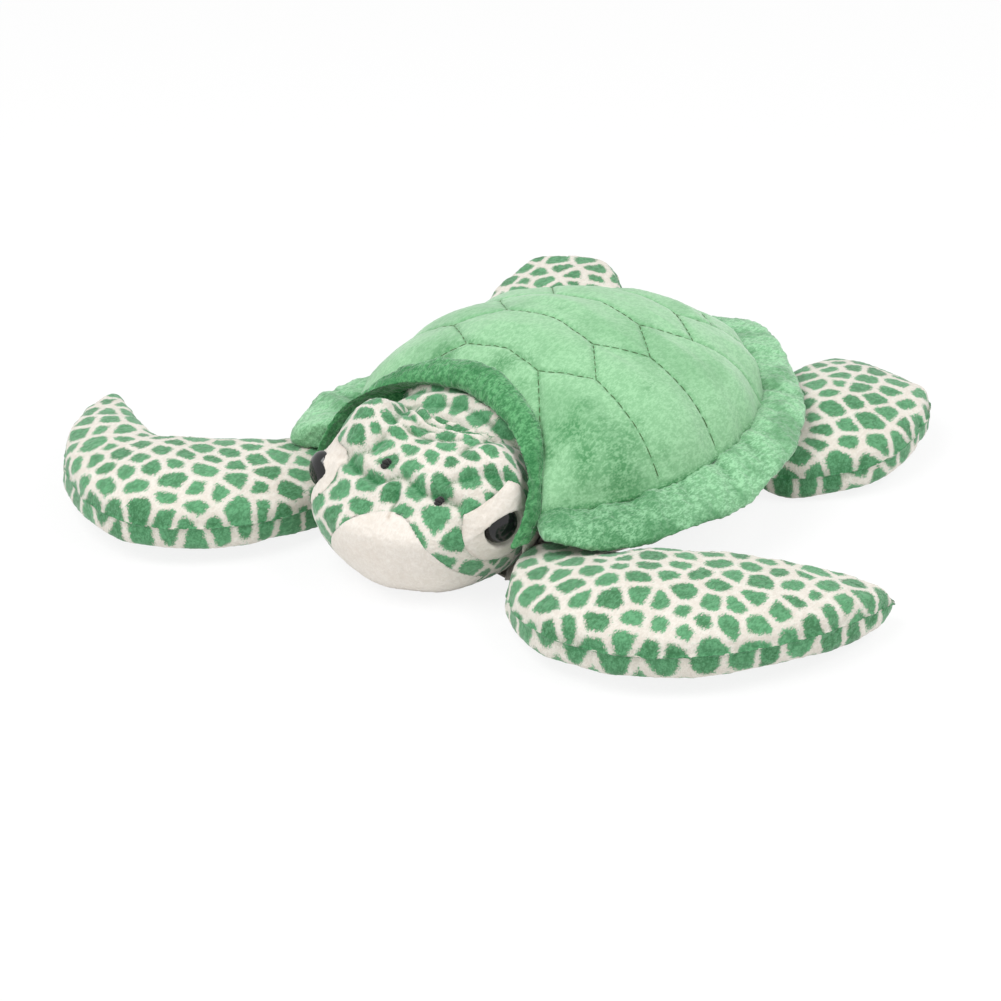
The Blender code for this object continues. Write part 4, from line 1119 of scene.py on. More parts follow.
def painted_shade_patches(places):
    """Painted shade where the shell's pile lies the other way: beside the collar and along its lower front.
    """
    shade = np.zeros(len(places))
    uneven = 1 + 0.9 * ripple(places, PAINTED_SHADE_LENGTH, 17) + 0.3 * ripple(places, PAINTED_SHADE_FINE_LENGTH, 18)
    for side_share, length_share, reach_share in PAINTED_SHADE_SHARES:
        middle = np.array((side_share * DOME_WIDTH / 2, -SHELL_FRONT + length_share * SHELL_LENGTH))
        gap = np.linalg.norm(places[:, :2] - middle, axis=1) / (reach_share * SHELL_LENGTH)
        shade = np.maximum(shade, 0.8 * bell(1.1 * gap * uneven, 1.0))
    return shade


def crease_from_stitches(places, off_line):
    """Small gathers that run away from the rows of stitches, and soft folds across the shell."""
    gathers = ripple(places * np.array((1.0, 0.5, 1.0)), GATHER_LENGTH, 9)
    folds = ripple(places * np.array((0.25, 1.0, 0.25)), CROSS_FOLD_LENGTH, 19)
    return GATHER_HEIGHT * gathers * np.exp(-off_line / GATHER_REACH) + CROSS_FOLD_HEIGHT * folds


def sew_quilting(dome, paths):
    """One thread of small stitches that lie in the pressed lines."""
    tree = BVHTree.FromObject(dome, bpy.context.evaluated_depsgraph_get())
    corners, faces = [], []
    for path in paths:
        for start, end in zip(path, path[1:]):
            count = max(1, int(np.linalg.norm(end - start) / (STITCH_LENGTH + STITCH_GAP)))
            for index in range(count):
                ends = []
                for share in (index / count, (index + STITCH_SHARE) / count):
                    ends.append(dropped(tree, *(start + (end - start) * share)))
                if None in ends or (ends[0] - ends[1]).length > 3 * STITCH_LENGTH:
                    continue
                if min(ends[0].z, ends[1].z) >= SEAM_HEIGHT + SKIN:
                    add_stitch(corners, faces, np.array(ends[0]), np.array(ends[1]), STITCH_RADIUS)
    material = fibre("quilting_thread_look", colours().thread, darker(colours().thread, 0.5), THREAD_HAIR)
    add_piece("shell_stitching", np.array(corners), np.array(faces), material, "shell",
              thickness=0.0)


def dropped(tree, x, y):
    """Where a point that falls straight down meets a piece, or None."""
    return tree.ray_cast(Vector((x, y, 1.0)), Vector((0, 0, -1)))[0]


def add_stitch(corners, faces, start, end, radius):
    """A short rounded thread between two points, closed at both ends."""
    ahead = end - start
    ahead = ahead / max(np.linalg.norm(ahead), 1e-9)
    side = np.cross(ahead, UP)
    side = side / max(np.linalg.norm(side), 1e-9)
    rise = np.cross(side, ahead)
    first = len(corners)
    for share, thick in STITCH_RING_SHARES:
        middle = start + (end - start) * share + rise * radius * (0.2 + math.sin(math.pi * share) * 0.6)
        for part in range(STITCH_SIDES):
            turn = math.tau * part / STITCH_SIDES
            corners.append(middle + (side * math.cos(turn) + rise * math.sin(turn)) * radius * thick)
    rings = len(STITCH_RING_SHARES)
    faces.extend((first + grid_faces(rings, STITCH_SIDES, closed=True)).tolist())
    for base in (first, first + (rings - 1) * STITCH_SIDES):
        faces.append((base, base + 1, base + 2, base + 3))
        faces.append((base, base + 3, base + 4, base + 5))


class TURTLE_OT_belly(bpy.types.Operator):
    """Makes the cream underside, tucked in round the neck and the flippers' roots"""

    bl_idname = "turtle.belly"
    bl_label = "Belly"

    def execute(self, context):
        """Makes the underside."""
        grid = surface([belly_curve(station) for station in DOME_STATION_SHARES], BELLY_STEP)
        faces = grid_faces(*grid.shape[:2])
        places = grid.reshape(-1, 3)
        faces = turned_outwards(places, faces, np.array((0, 0, SEAM_HEIGHT)))
        lumps = BELLY_LUMP * ripple(places, BELLY_LUMP_LENGTH, 4)
        lumps *= smooth_step(places[:, 2], BELLY_FLAT_HEIGHT, BELLY_TUCK_REACH)
        places = places + normals_of(places, faces) * lumps[:, None]
        places = nap(places, faces, 3)
        places = out_of_neck(places)
        for end, tag in FLIPPER_POSES:
            places = out_of_root(places, flipper_sizes(end), SIDES[tag])
        places[:, 2] = np.maximum(places[:, 2], FLOOR_GAP)
        places[:, 2] = np.minimum(places[:, 2], SEAM_HEIGHT - BELLY_EDGE_DROP)
        tuck = smooth_step(places[:, 2], SEAM_HEIGHT - BELLY_TUCK_REACH, SEAM_HEIGHT - BELLY_TUCK_TOP)
        places[:, :2] *= (1 - BELLY_TUCK_SHARE * tuck)[:, None]
        material = plush("belly_plush_look", colours().cream, colours().cream_pile_and_shade, 0.3, 0.15, 0.6, 0.3)
        belly = add_piece("belly_plush", places, faces, material, "shell")
        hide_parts("belly_panel")
        return {"FINISHED"}


def out_of_root(places, sizes_of, side):
    """Places tucked inwards behind the round root of a flipper and its swing."""
    root = sizes_of["root"] * np.array((side, 1, 1))
    seam = direction(sizes_of["seam"]) * np.array((side, 1, 1))
    outward = direction(sizes_of["seam"] - math.pi / 2) * np.array((side, 1, 1))
    apart = places - root
    along, out, up = apart @ seam, apart @ outward, apart[:, 2]
    radius = sizes_of["radius"] + CLOTH
    high = radius / math.cos(FLIPPER_LIFT + FLIPPER_SWELL_ANGLE)
    high = high + np.maximum(out, 0) * math.tan(FLIPPER_LIFT + FLIPPER_SWELL_ANGLE)
    swung = np.abs(along) < sizes_of["root_chord"] * 0.95
    hollow = -np.sqrt(np.maximum(radius ** 2 - np.minimum(np.abs(up), radius) ** 2, 0))
    inside = swung & (up < high) & (out > hollow)
    depth = np.where(inside, out - hollow, 0.0)
    return places - outward * depth[:, None]


class TURTLE_OT_rim(bpy.types.Operator):
    """Makes the floppy padded rim round the shell"""

    bl_idname = "turtle.rim"
    bl_label = "Rim"

    def execute(self, context):
        """Lofts the rim, with waves, gathers and fluff."""
        steps = np.linspace(0, 1, RIM_STATIONS + 1)
        ends = np.array(RIM_END_SHARES)
        rings = [rim_ring(share) for share in np.sort(np.concatenate((steps, ends, 1 - ends)))]
        grid = surface(closed_ends(rings), RIM_STEP, closed=True)
        rows, columns = grid.shape[:2]
        faces = grid_faces(rows, columns, closed=True)
        places = grid.reshape(-1, 3)
        normal = normals_of(places, faces)
        if np.sum(normal[:, :2] * places[:, :2]) < 0:
            faces = faces[:, ::-1]
            normal = -normal
        run = np.repeat(np.linspace(0, 1, rows), columns)
        seam = np.array([seam_place(share) for share in np.linspace(0, 1, rows)])
        out = np.linalg.norm(places[:, :2] - np.repeat(seam, columns, axis=0)[:, :2], axis=1)
        out_share = np.clip(out / RIM_WIDTH_REAR, 0, 1)
        line = np.outer(run * RIM_RUN, (1.0, 0.0, 0.0))
        slanted = line + np.array((0.9, 0, 0)) * out[:, None]
        gathers = ripple(slanted, RIM_GATHER_LENGTH, 11) * (1.15 - out_share)
        billow = ripple(places, RIM_BILLOW_LENGTH, 13)
        places = places + normal * (RIM_GATHER_HEIGHT * gathers + RIM_BILLOW * billow)[:, None]
        places[:, 2] += RIM_FLOP * ripple(line, RIM_FLOP_LENGTH, 12) * out_share ** 1.5
        places = nap(places, faces, 14, sizes().fluff_height)
        # Painted shade in the troughs of the gathers, on the near front and along the seam
        fold = smooth_step(-gathers, 0.02, 0.5) * 0.65
        fold = np.maximum(fold, 0.6 * bell(run - RIM_PAINTED_SHADE_SHARE, RIM_PAINTED_SHADE_REACH_SHARE))
        fold = np.maximum(fold, 0.9 * bell(out, RIM_SEAM_SHADE))
        material = plush("rim_plush_look", colours().rim, colours().rim_pile_and_shade, streak_share=0.45,
                         patch_share=0.5, bump_share=0.8, sheen=0.5, patch_length=RIM_PATCH_LENGTH)
        rim = add_piece("shell_rim_plush", places, faces, material, "shell",
                        {"fold": fold}, thickness=0.0)
        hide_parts("shell_rim")
        return {"FINISHED"}


def rim_ring(share):
    """One section of the rim at a share of its way round."""
    place = seam_place(share)
    ahead = seam_place(min(share + RIM_AHEAD_SHARE, 1.0)) - seam_place(max(share - RIM_AHEAD_SHARE, 0.0))
    outward = Vector((ahead.y, -ahead.x, 0.0)).normalized()
    rear = 1 - abs(2 * share - 1)
    width = RIM_WIDTH_FRONT + (RIM_WIDTH_SIDE - RIM_WIDTH_FRONT) * min(1.0, rear * 3)
    width += (RIM_WIDTH_REAR - RIM_WIDTH_SIDE) * max(0.0, rear * 4 - 3) ** 2
    between_flippers = math.sin(math.pi * min(1.0, max(0.0, rear / 0.55 - 0.25) / 0.75)) ** 2
    drop = RIM_DROP * (0.15 + 0.85 * between_flippers)
    wave = RIM_WAVE * math.sin(RIM_WAVES * math.tau * share + RIM_WAVE_START)
    # The near front end tapers and hangs under the collar, and the far one ends in a round lobe
    if share < 0.5:
        taper = RIM_TAPER_SHARE + (1 - RIM_TAPER_SHARE) * min(1.0, rear / RIM_TAPER_REACH_SHARE)
        flare = math.sin(math.pi * min(1.0, rear / RIM_FLARE_REACH_SHARE))
        hang = math.exp(-((rear - RIM_HANG_SHARE) / RIM_HANG_REACH_SHARE) ** 2)
        lobe, rounding = 0.0, 1.0
    else:
        taper, flare, hang = 1.0, 0.0, 0.0
        lobe = math.exp(-((rear - RIM_LOBE_SHARE) / RIM_LOBE_REACH_SHARE) ** 2)
        from_end = min(1.0, rear / RIM_ROUND_REACH_SHARE)
        rounding = 0.3 + 0.7 * math.sqrt(1 - (1 - from_end) ** 2)
    width = (width * taper + RIM_WIDTH_SIDE * (0.38 * lobe + 0.28 * flare)) * rounding
    drop = drop + RIM_DROP * (0.5 * flare + 0.75 * hang + 0.8 * lobe)
    ring = []
    for out_share, lift_share in RIM_SECTION_SHARES:
        fall = drop * out_share ** 1.5 - wave * out_share ** 2
        thin = (1.05 - 0.3 * out_share) * taper * (1 + 0.9 * lobe)
        lift = RIM_THICKNESS / 2 * lift_share * thin - RIM_THICKNESS / 12 - fall
        point = place + outward * (width * out_share * 1.05 - RIM_TUCK)
        ring.append((point.x, point.y, point.z + lift))
    return ring


def closed_ends(rings):
    """Rings with rounded ends that shrink to points."""
    def end(ring, neighbour):
        ring = np.array(ring)
        middle = ring.mean(axis=0)
        away = unit(middle - np.mean(neighbour, axis=0))
        thickness = np.ptp(ring[:, 2]) / 2
        return [(middle + (ring - middle) * share + away * thickness * reach).tolist()
                for share, reach in ((0.8, 0.5), (0.4, 0.85), (0.0, 0.9))]
    first, last = end(rings[0], rings[1]), end(rings[-1], rings[-2])
    return [*reversed(first), *(list(ring) for ring in rings), *last]


class TURTLE_OT_collar(bpy.types.Operator):
    """Makes the fluffy rolled collar that arches over the neck"""

    bl_idname = "turtle.collar"
    bl_label = "Collar"

    def execute(self, context):
        """Lofts the collar and fluffs it."""
        shares = np.linspace(-COLLAR_FOOT_SHARE, 1 + COLLAR_FOOT_SHARE, COLLAR_STATIONS + 1)
        grid = surface(closed_ends([collar_ring(share) for share in shares]), COLLAR_STEP, closed=True)
        faces = grid_faces(*grid.shape[:2], closed=True)
        places = grid.reshape(-1, 3)
        centre = np.array((0, -COLLAR_TOP_FORWARD, COLLAR_FOOT_HEIGHT))
        faces = turned_outwards(places, faces, centre)
        lumps = COLLAR_LUMP * ripple(places, COLLAR_LUMP_LENGTH, 21)
        places = places + normals_of(places, faces) * lumps[:, None]
        # The feet give way only in part, so that they stay thick beside the head
        risen = smooth_step(places[:, 2], COLLAR_FOOT_LOW, COLLAR_FOOT_HIGH)
        yielding = COLLAR_FOOT_YIELD_SHARE + (1 - COLLAR_FOOT_YIELD_SHARE) * risen
        places = places + (out_of_neck(places) - places) * yielding[:, None]
        places = nap(places, faces, 22, sizes().fluff_height * 1.2)
        material = plush("collar_plush_look", colours().collar, colours().collar_pile_and_shade,
                         streak_share=0.75, patch_share=0.5, bump_share=1.0, sheen=0.4,
                         patch_length=COLLAR_PATCH_LENGTH)
        collar = add_piece("neck_collar_plush", places, faces, material, "shell",
                           thickness=0.0)
        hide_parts("neck_collar")
        line_opening(material)
        return {"FINISHED"}


def line_opening(collar_material):
    """The lining between the shell's front edge and the neck: plush of the collar with painted shade, cream
    below it.
    """
    cream = bpy.data.materials["belly_plush_look"]
    for name, matches_collar, slot, first, last in LININGS:
        angles = np.radians(np.linspace(first, last, (last - first) // 2))
        grid = np.array([lining_row(angle) for angle in angles])
        places = grid.reshape(-1, 3)
        faces = turned_outwards(places, grid_faces(*grid.shape[:2]), np.array(NECK_CENTRE))[:, ::-1]
        places = nap(places, faces, 23)
        places[:, 2] = np.maximum(places[:, 2], CLOTH)
        # Painted shade over the collar's lining, none over the cream
        fold = np.full(len(places), 0.6 if matches_collar else 0.0)
        material = collar_material if matches_collar else cream
        add_piece(name, places, faces, material, "shell", {"fold": fold})


def lining_row(angle):
    """Points from the shell's front edge back along the wall of the room for the head and the neck."""
    rise = max(math.sin(angle), 0.0)
    fall = max(-math.sin(angle), 0.0) / math.sin(LINING_LOWEST_ANGLE)
    aside = math.copysign(abs(math.cos(angle)) ** (0.4 if fall else 1.0), math.cos(angle))
    edge = np.array((
        (DOME_WIDTH / 2 - COLLAR_INSET) * aside,
        -COLLAR_FOOT_FORWARD + (COLLAR_FOOT_FORWARD - COLLAR_TOP_FORWARD) * rise + LINING_FOOT_BACK * fall,
        COLLAR_FOOT_HEIGHT + COLLAR_RISE * rise - (COLLAR_FOOT_HEIGHT - LINING_FOOT_HEIGHT) * fall))
    edge = edge - np.array(NECK_CENTRE)
    inner = unit(np.array((math.cos(angle), LINING_TURN_IN, math.sin(angle))))
    row = []
    for share in np.linspace(LINING_START_SHARE, 1.0, LINING_ROW_POINTS):
        ahead = unit(unit(edge) * (1 - share) + inner * share)
        wall = room_reach(ahead) - LINING_ROOM
        near_edge = bell(share - LINING_START_SHARE, LINING_FALL_SHARE)
        reach = np.linalg.norm(edge) * near_edge + wall * (1 - near_edge)
        row.append(np.array(NECK_CENTRE) + ahead * reach)
    return row


def room_reach(ahead):
    """How far the room for the head and the neck reaches from the neck's middle in a direction."""
    start = np.array((0, HEAD_REACH, 0)) / HEAD_ROOM
    step = ahead / HEAD_ROOM
    across = start @ step
    depth = across ** 2 - (step @ step) * (start @ start - 1)
    oval = (-across + math.sqrt(max(depth, 0.0))) / (step @ step)
    return max(NECK_RADIUS, oval if depth > 0 else 0.0)


def collar_ring(share):
    """One section of the collar at a share of its arch."""
    angle = math.pi * share
    rise = math.sin(angle)
    centre = np.array((
        (DOME_WIDTH / 2 - COLLAR_INSET) * math.cos(angle),
        -COLLAR_FOOT_FORWARD + (COLLAR_FOOT_FORWARD - COLLAR_TOP_FORWARD) * rise,
        COLLAR_FOOT_HEIGHT + COLLAR_RISE * rise))
    outward = np.array((math.cos(angle), 0.0, rise))
    back = np.array((0, 1, 0.25 * rise))
    end_share = 0.85 + 0.15 * min(1.0, 2 * max(rise, 0.0))
    half_thickness = COLLAR_THICKNESS / 2 * 0.9 * end_share
    half_depth = COLLAR_DEPTH / 2 * 1.08 * end_share
    centre = centre - back * (half_depth * (1 - COLLAR_SLIM_SHARE)) - outward * MM
    ring = []
    for part in range(COLLAR_SECTION_POINTS):
        turn = math.tau * part / COLLAR_SECTION_POINTS
        ring.append(centre + outward * (half_thickness * math.cos(turn))
                    + back * (half_depth * COLLAR_SLIM_SHARE * math.sin(turn)))
    return ring


def direction(bearing):
    """A level unit vector at a bearing from +X."""
    return np.array((math.cos(bearing), math.sin(bearing), 0.0))


def flipper_sizes(end):
    """The sizes of a front or a rear flipper."""
    if end == "front":
        return {
            "root": np.array((DOME_WIDTH / 2 - FRONT_ROOT_INSET, -FRONT_ROOT_FORWARD, FRONT_ROOT_HEIGHT)),
            "seam": FRONT_SEAM_ANGLE, "root_chord": FRONT_ROOT_CHORD, "reach": FRONT_REACH,
            "shoulder": FRONT_SHOULDER, "elbow": FRONT_ELBOW, "chord": FRONT_CHORD,
            "thickness": FRONT_THICKNESS, "radius": FRONT_ROOT_RADIUS}
    return {
        "root": np.array((DOME_WIDTH / 2 - REAR_ROOT_INSET, REAR_ROOT_BACK, REAR_ROOT_HEIGHT)),
        "seam": REAR_SEAM_ANGLE, "root_chord": REAR_ROOT_CHORD, "reach": REAR_REACH,
        "shoulder": REAR_SHOULDER, "elbow": REAR_ELBOW, "chord": REAR_CHORD,
        "thickness": REAR_THICKNESS, "radius": REAR_ROOT_RADIUS}


def flipper_rows(sizes_of, pose, upper):
    """Rows of points over the upper or the lower side of a left flipper, root to tip."""
    tip_bearing, elbow_bearing, elbow_share, tip_lift, tip_shares = pose
    root, radius = sizes_of["root"], sizes_of["radius"]
    seam = direction(sizes_of["seam"])
    outward = direction(sizes_of["seam"] - math.pi / 2)
    shoulder = root + outward * sizes_of["shoulder"]
    elbow = root + direction(elbow_bearing) * (sizes_of["elbow"] * elbow_share)
    tip = root + direction(tip_bearing) * sizes_of["reach"]
    half_root, half_chord = sizes_of["root_chord"] / 2, sizes_of["chord"] / 2
    rows = []
    for turn in (0.0, math.pi / 4, math.pi / 2):
        row = []
        for chord_share in FLIPPER_CHORD_SHARES:
            round_share = math.sqrt(max(0.0, 1 - chord_share ** 4))
            lift = radius * math.sin(turn) * round_share * (1 if upper else -1)
            row.append(root - outward * (radius * math.cos(turn) * round_share)
                       - seam * (half_root * chord_share) + UP * lift)
        rows.append(row)
    for station, tip_share in zip(FLIPPER_STATION_SHARES, tip_shares):
        length_share, lead_share, trail_share, thick_share = station
        a, b = length_share, 1 - length_share
        centre = root * b ** 3 + shoulder * 3 * a * b * b + elbow * 3 * a * a * b + tip * a ** 3
        centre[2] = 0.0
        ahead = (shoulder - root) * b * b + (elbow - shoulder) * 2 * a * b + (tip - elbow) * a * a
        lead = unit(np.array((ahead[1], -ahead[0], 0.0)))
        thickness = sizes_of["thickness"] * thick_share
        seam_level = -FLOOR_CUT + tip_lift * length_share ** 3 + thickness * FLIPPER_SEAM_SHARE
        rise = thickness * (1 - FLIPPER_SEAM_SHARE) if upper else -thickness * FLIPPER_SEAM_SHARE
        row = []
        for chord_share in FLIPPER_CHORD_SHARES:
            spread = lead_share if chord_share > 0 else trail_share
            reach = max(half_chord * spread * tip_share, FLIPPER_LEAST_REACH)
            round_share = math.sqrt(max(0.0, 1 - abs(chord_share) ** (2.4 if upper else 4)))
            row.append(centre + lead * (reach * chord_share) + UP * (seam_level + rise * round_share))
        rows.append(row)
    return rows


class TURTLE_OT_flippers(bpy.types.Operator):
    """Makes the spotted upper and lower panels of the four flippers"""

    bl_idname = "turtle.flippers"
    bl_label = "Flippers"

    def execute(self, context):
        """Sews each flipper from two panels."""
        material = plush("spotted_plush_look", colours().cream, colours().cream_pile_and_shade, 0.3, 0.1, 0.7, 0.35,
                         (colours().spot, colours().spot_pile_and_shade))
        seed = 30
        for end, tag in FLIPPER_POSES:
            for part in ("top", "bottom"):
                seed += 1
                make_panel(end, tag, part, material, seed)
        return {"FINISHED"}


def make_panel(end, tag, part, material, seed):
    """One panel of a flipper, pinched and gathered along its seam."""
    upper = part == "top"
    grid = surface(flipper_rows(flipper_sizes(end), FLIPPER_POSES[end, tag], upper), FLIPPER_STEP)
    rows, columns = grid.shape[:2]
    places = grid.reshape(-1, 3)
    middle = places.mean(axis=0) - UP * (PANEL_INSIDE if upper else -PANEL_INSIDE)
    faces = turned_outwards(places, grid_faces(rows, columns), middle)
    steps = np.linalg.norm(np.diff(grid, axis=1), axis=-1)
    travelled = np.concatenate((np.zeros((rows, 1)), np.cumsum(steps, axis=1)), axis=1)
    from_side = np.minimum(travelled, travelled[:, -1:] - travelled).reshape(-1)
    steps = np.linalg.norm(np.diff(grid[:, columns // 2], axis=0), axis=1)
    run = np.repeat(np.concatenate(([0.0], np.cumsum(steps))), columns)
    from_tip = run[-1] - run
    from_seam = np.minimum(from_side, from_tip)
    side_of = np.tile(np.sign(np.linspace(-1, 1, columns)), rows)
    line = np.column_stack((run, side_of * PUCKER_SIDES_APART, np.zeros(len(run))))
    gathers = ripple(line, PUCKER_LENGTH, 3 if end == "front" else 4) * np.exp(-from_seam / PUCKER_REACH)
    pinch = bell(from_seam, SEAM_PINCH_REACH)
    lumps = ripple(places, PANEL_LUMP_LENGTH, seed + 50) * smooth_step(from_seam, 0, PANEL_LUMP_EDGE)
    fullness, band = PANEL_FULLNESS[part]
    full = fullness * smooth_step(from_seam, 0, PANEL_FULL_EDGE)
    full += band * bell(from_seam - PANEL_BAND_MIDDLE, PANEL_BAND_REACH)
    push = PUCKER_HEIGHT * gathers - SEAM_PINCH * pinch + PANEL_LUMP * lumps + full
    push *= 0.15 + 0.85 * smooth_step(run, ROOT_FADE_START, ROOT_FADE_END)
    # Both panels move alike along their seam, and their tips close on it
    normal = normals_of(places, faces)
    normal[:, 2] *= 1 - bell(from_seam, SEAM_LEVEL_REACH)
    places = places + normal * push[:, None]
    places = nap(places, faces, seed + 7)
    seam_level = np.repeat(grid[:, 0, 2], columns)
    places[:, 2] += (seam_level - places[:, 2]) * bell(from_tip, TIP_CLOSING_REACH)
    places[:, 2] = np.maximum(places[:, 2], FLOOR_GAP)
    # Painted shade along the pinched seam and in the troughs of its gathers
    fold = 0.5 * pinch * smooth_step(-gathers, -0.2, 0.4) + 0.12 * pinch
    edges, tones = spot_edges(grid.reshape(-1, 3), seed)
    if tag == "right":
        places = places * np.array((-1, 1, 1))
        faces = faces[:, ::-1]
    node = end + "_flipper_" + tag + "_" + part
    panel = add_piece(node + "_plush", places, faces, material, end + "_" + tag,
                      {"fold": fold, "spot": edges, "tone": tones})
    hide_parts(node)


def cube_sphere(steps):
    """Unit directions spread evenly over a sphere, and the quads between them."""
    ticks = np.tan(np.linspace(-math.pi / 4, math.pi / 4, steps + 1))
    u, v = np.meshgrid(ticks, ticks, indexing="ij")
    one = np.ones_like(u)
    places, faces = [], []
    for index, sides in enumerate(((one, u, v), (-one, v, u), (v, one, u), (u, -one, v), (u, v, one),
                                   (v, u, -one))):
        places.append(np.stack(sides, axis=-1).reshape(-1, 3))
        faces.append(grid_faces(steps + 1, steps + 1) + index * (steps + 1) ** 2)
    places = np.concatenate(places)
    faces = np.concatenate(faces)
    places /= np.linalg.norm(places, axis=1, keepdims=True)
    key = np.round(places * 1e6).astype(np.int64)
    _, first, back = np.unique(key, axis=0, return_index=True, return_inverse=True)
    return places[first], back.reshape(-1)[faces]


def head_form(directions):
    """The swelling form of the head in the neck's frame."""
    x, y, z = directions.T

    def fuller(values):
        return (1 - HEAD_ROUNDING_SHARE) * values + HEAD_ROUNDING_SHARE * np.sin(math.pi / 2 * values)
    half_length = np.where(y > 0, HEAD_BACK, HEAD_LENGTH / 2)
    slope = 1 - HEAD_SLOPE_SHARE * np.maximum(0, -y)
    half_height = np.where(z > 0, HEAD_CROWN * slope, HEAD_CHIN)
    brow = HEAD_BROW * np.maximum(0, z) * np.minimum(1, 2.2 * np.abs(x)) * np.maximum(0, 0.9 - np.abs(y))
    narrow = 1 - 0.10 * np.maximum(0, -z) - 0.10 * np.maximum(0, -y)
    share = HEAD_CAGE_SHARE
    return np.column_stack((
        HEAD_WIDTH / 2 * share * fuller(x) * narrow,
        -HEAD_REACH + half_length * share * fuller(y),
        HEAD_HEIGHT - NECK_HEIGHT + half_height * share * fuller(z) + brow))


def eye_axes(tag):
    """An eye's place on the skin, from its solid and its washer, and where the soft patch turns it."""
    corners = np.array([corner.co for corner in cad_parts["eye_" + tag].data.vertices])
    washer = np.array([corner.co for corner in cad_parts["eye_washer_" + tag].data.vertices])
    middle = washer.mean(axis=0)
    outward = unit(corners.mean(axis=0) - middle)
    apex = np.max((corners - middle) @ outward)
    place = middle + outward * (apex - EYE_CROWN - EYE_SEAT)
    turn = np.array(Matrix.Rotation(EYE_TURNS[tag], 3, "Z"))
    return place, turn @ outward


def in_head(places):
    """Places of the toy's frame in the neck's frame."""
    inverse = np.array(HEAD_FRAME.inverted())
    return places @ inverse[:3, :3].T + inverse[:3, 3]


def out_of_head(places):
    """Places of the neck's frame in the toy's frame."""
    matrix = np.array(HEAD_FRAME)
    return places @ matrix[:3, :3].T + matrix[:3, 3]


class TURTLE_OT_head(bpy.types.Operator):
    """Makes the head's spotted skin, its muzzle, its eye patches and the neck"""

    bl_idname = "turtle.head"
    bl_label = "Head"

    def execute(self, context):
        """Forms one surface with brows, lids, creases and folds, and cuts it into its panels."""
        directions, faces = cube_sphere(HEAD_FACE_STEPS)
        smooth = head_form(directions)
        faces = turned_outwards(smooth, faces, np.array((0, -HEAD_REACH, 0)))
        normal = normals_of(smooth, faces)
        lift, fold = head_relief(smooth)
        places = relaxed(raised_brows(smooth + normal * lift[:, None], normal), faces)
        regions = []
        for tag in SIDES:
            places, fold, region = shape_eye(places, smooth, fold, tag)
            regions.append(region)
        regions.append(muzzle_region(smooth))
        for region in regions:
            places, smooth = snapped(places, smooth, faces, region)
        world = nap(out_of_head(places), faces, 61)
        world[:, 2] = np.maximum(world[:, 2], FLOOR_GAP)
        # The crown's skin is bunched up, so its spots are narrow from front to back
        printed = smooth.copy()
        printed[:, 1] += CROWN_BUNCHING * np.maximum(smooth[:, 1] + CROWN_FORWARD, 0)
        self.cut_panels(world, faces, regions, fold, spot_edges(printed, 62))
        make_neck()
        return {"FINISHED"}

    def cut_panels(self, world, faces, regions, fold, spots):
        """Splits the surface into two eye patches, the muzzle and the spotted rest."""
        spotted = bpy.data.materials["spotted_plush_look"]
        cream = plush("muzzle_plush_look", colours().cream, colours().cream_pile_and_shade, 0.22, 0.12, 0.45, 0.35)
        rest = -1
        owner = np.full(len(faces), rest)
        for index, region in enumerate(regions):
            owner[region[faces].mean(axis=1) < 0] = index
        edges, tones = spots
        for node, index, material, slot in (
                ("eye_patch_left", 0, cream, "cream_plush"), ("eye_patch_right", 1, cream, "cream_plush"),
                ("muzzle_panel", 2, cream, "cream_plush"), ("head_skin", rest, spotted, "spotted_plush")):
            chosen = faces[owner == index]
            used, back = np.unique(chosen, return_inverse=True)
            panel = add_piece(node + "_plush", world[used], back.reshape(chosen.shape), material, "head",
                              {"fold": fold[used], "spot": edges[used], "tone": tones[used]})
            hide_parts(node)


def relaxed(places, faces):
    """Places moved half way to the mean of their neighbours."""
    count = np.maximum(np.bincount(faces.ravel(), minlength=len(places)) * 2, 1)
    total = np.zeros_like(places)
    for corner in range(4):
        for step in (1, 3):
            neighbour = places[faces[:, (corner + step) % 4]]
            total += summed(faces[:, corner], neighbour, len(places))
    return places * 0.5 + total / count[:, None] * 0.5


def raised_brows(places, normal):
    """Round brows: a high one over the far eye, a low one over the near eye, and a full snout."""
    facing_up = smooth_step(normal[:, 2], 0.0, 0.5)
    for side, forward, reach, height in BROWS:
        gap = np.hypot(places[:, 0] - side * MM, places[:, 1] - forward * MM)
        places = places + np.outer(height * MM * bell(gap, reach * MM) * facing_up, UP)
    return places


def head_relief(places):
    """Seams and folds of the head, and the painted shade along each of them."""
    lift = HEAD_LIFT + HEAD_SWELL * ripple(places, HEAD_SWELL_LENGTH, 63)
    fold = np.zeros(len(places))
    head_middle = np.array((0, -HEAD_REACH, HEAD_HEIGHT - NECK_HEIGHT))
    outside = smooth_step(muzzle_region(places), 0, MUZZLE_SMOOTH)
    for points, depth, width in (*CREASES, *crown_creases()):
        path = laid_path([head_middle + np.array(point) * MM for point in points], places)
        gap = distance_to(places, path)
        lift -= outside * depth * MM * bell(gap, width * MM)
        lift += 0.35 * depth * MM * bell(gap - 2.2 * width * MM, 1.4 * width * MM) * outside
        # Painted shade along each crease and fold
        fold = np.maximum(fold, 0.8 * bell(gap, 0.5 * width * MM))
    return np.maximum(lift, HEAD_LEAST_LIFT), fold


def crown_creases():
    """The folds round the back of the crown, written like the other creases."""
    creases = []
    for reach, first, last, depth, width in CROWN_FOLDS:
        arc = []
        for angle in np.radians(np.linspace(first, last, CROWN_FOLD_POINTS)):
            forward = HEAD_REACH / MM - reach * math.cos(angle)
            arc.append((reach * math.sin(angle), forward, CROWN_FOLD_HEIGHT))
        creases.append((arc, depth, width))
    return creases


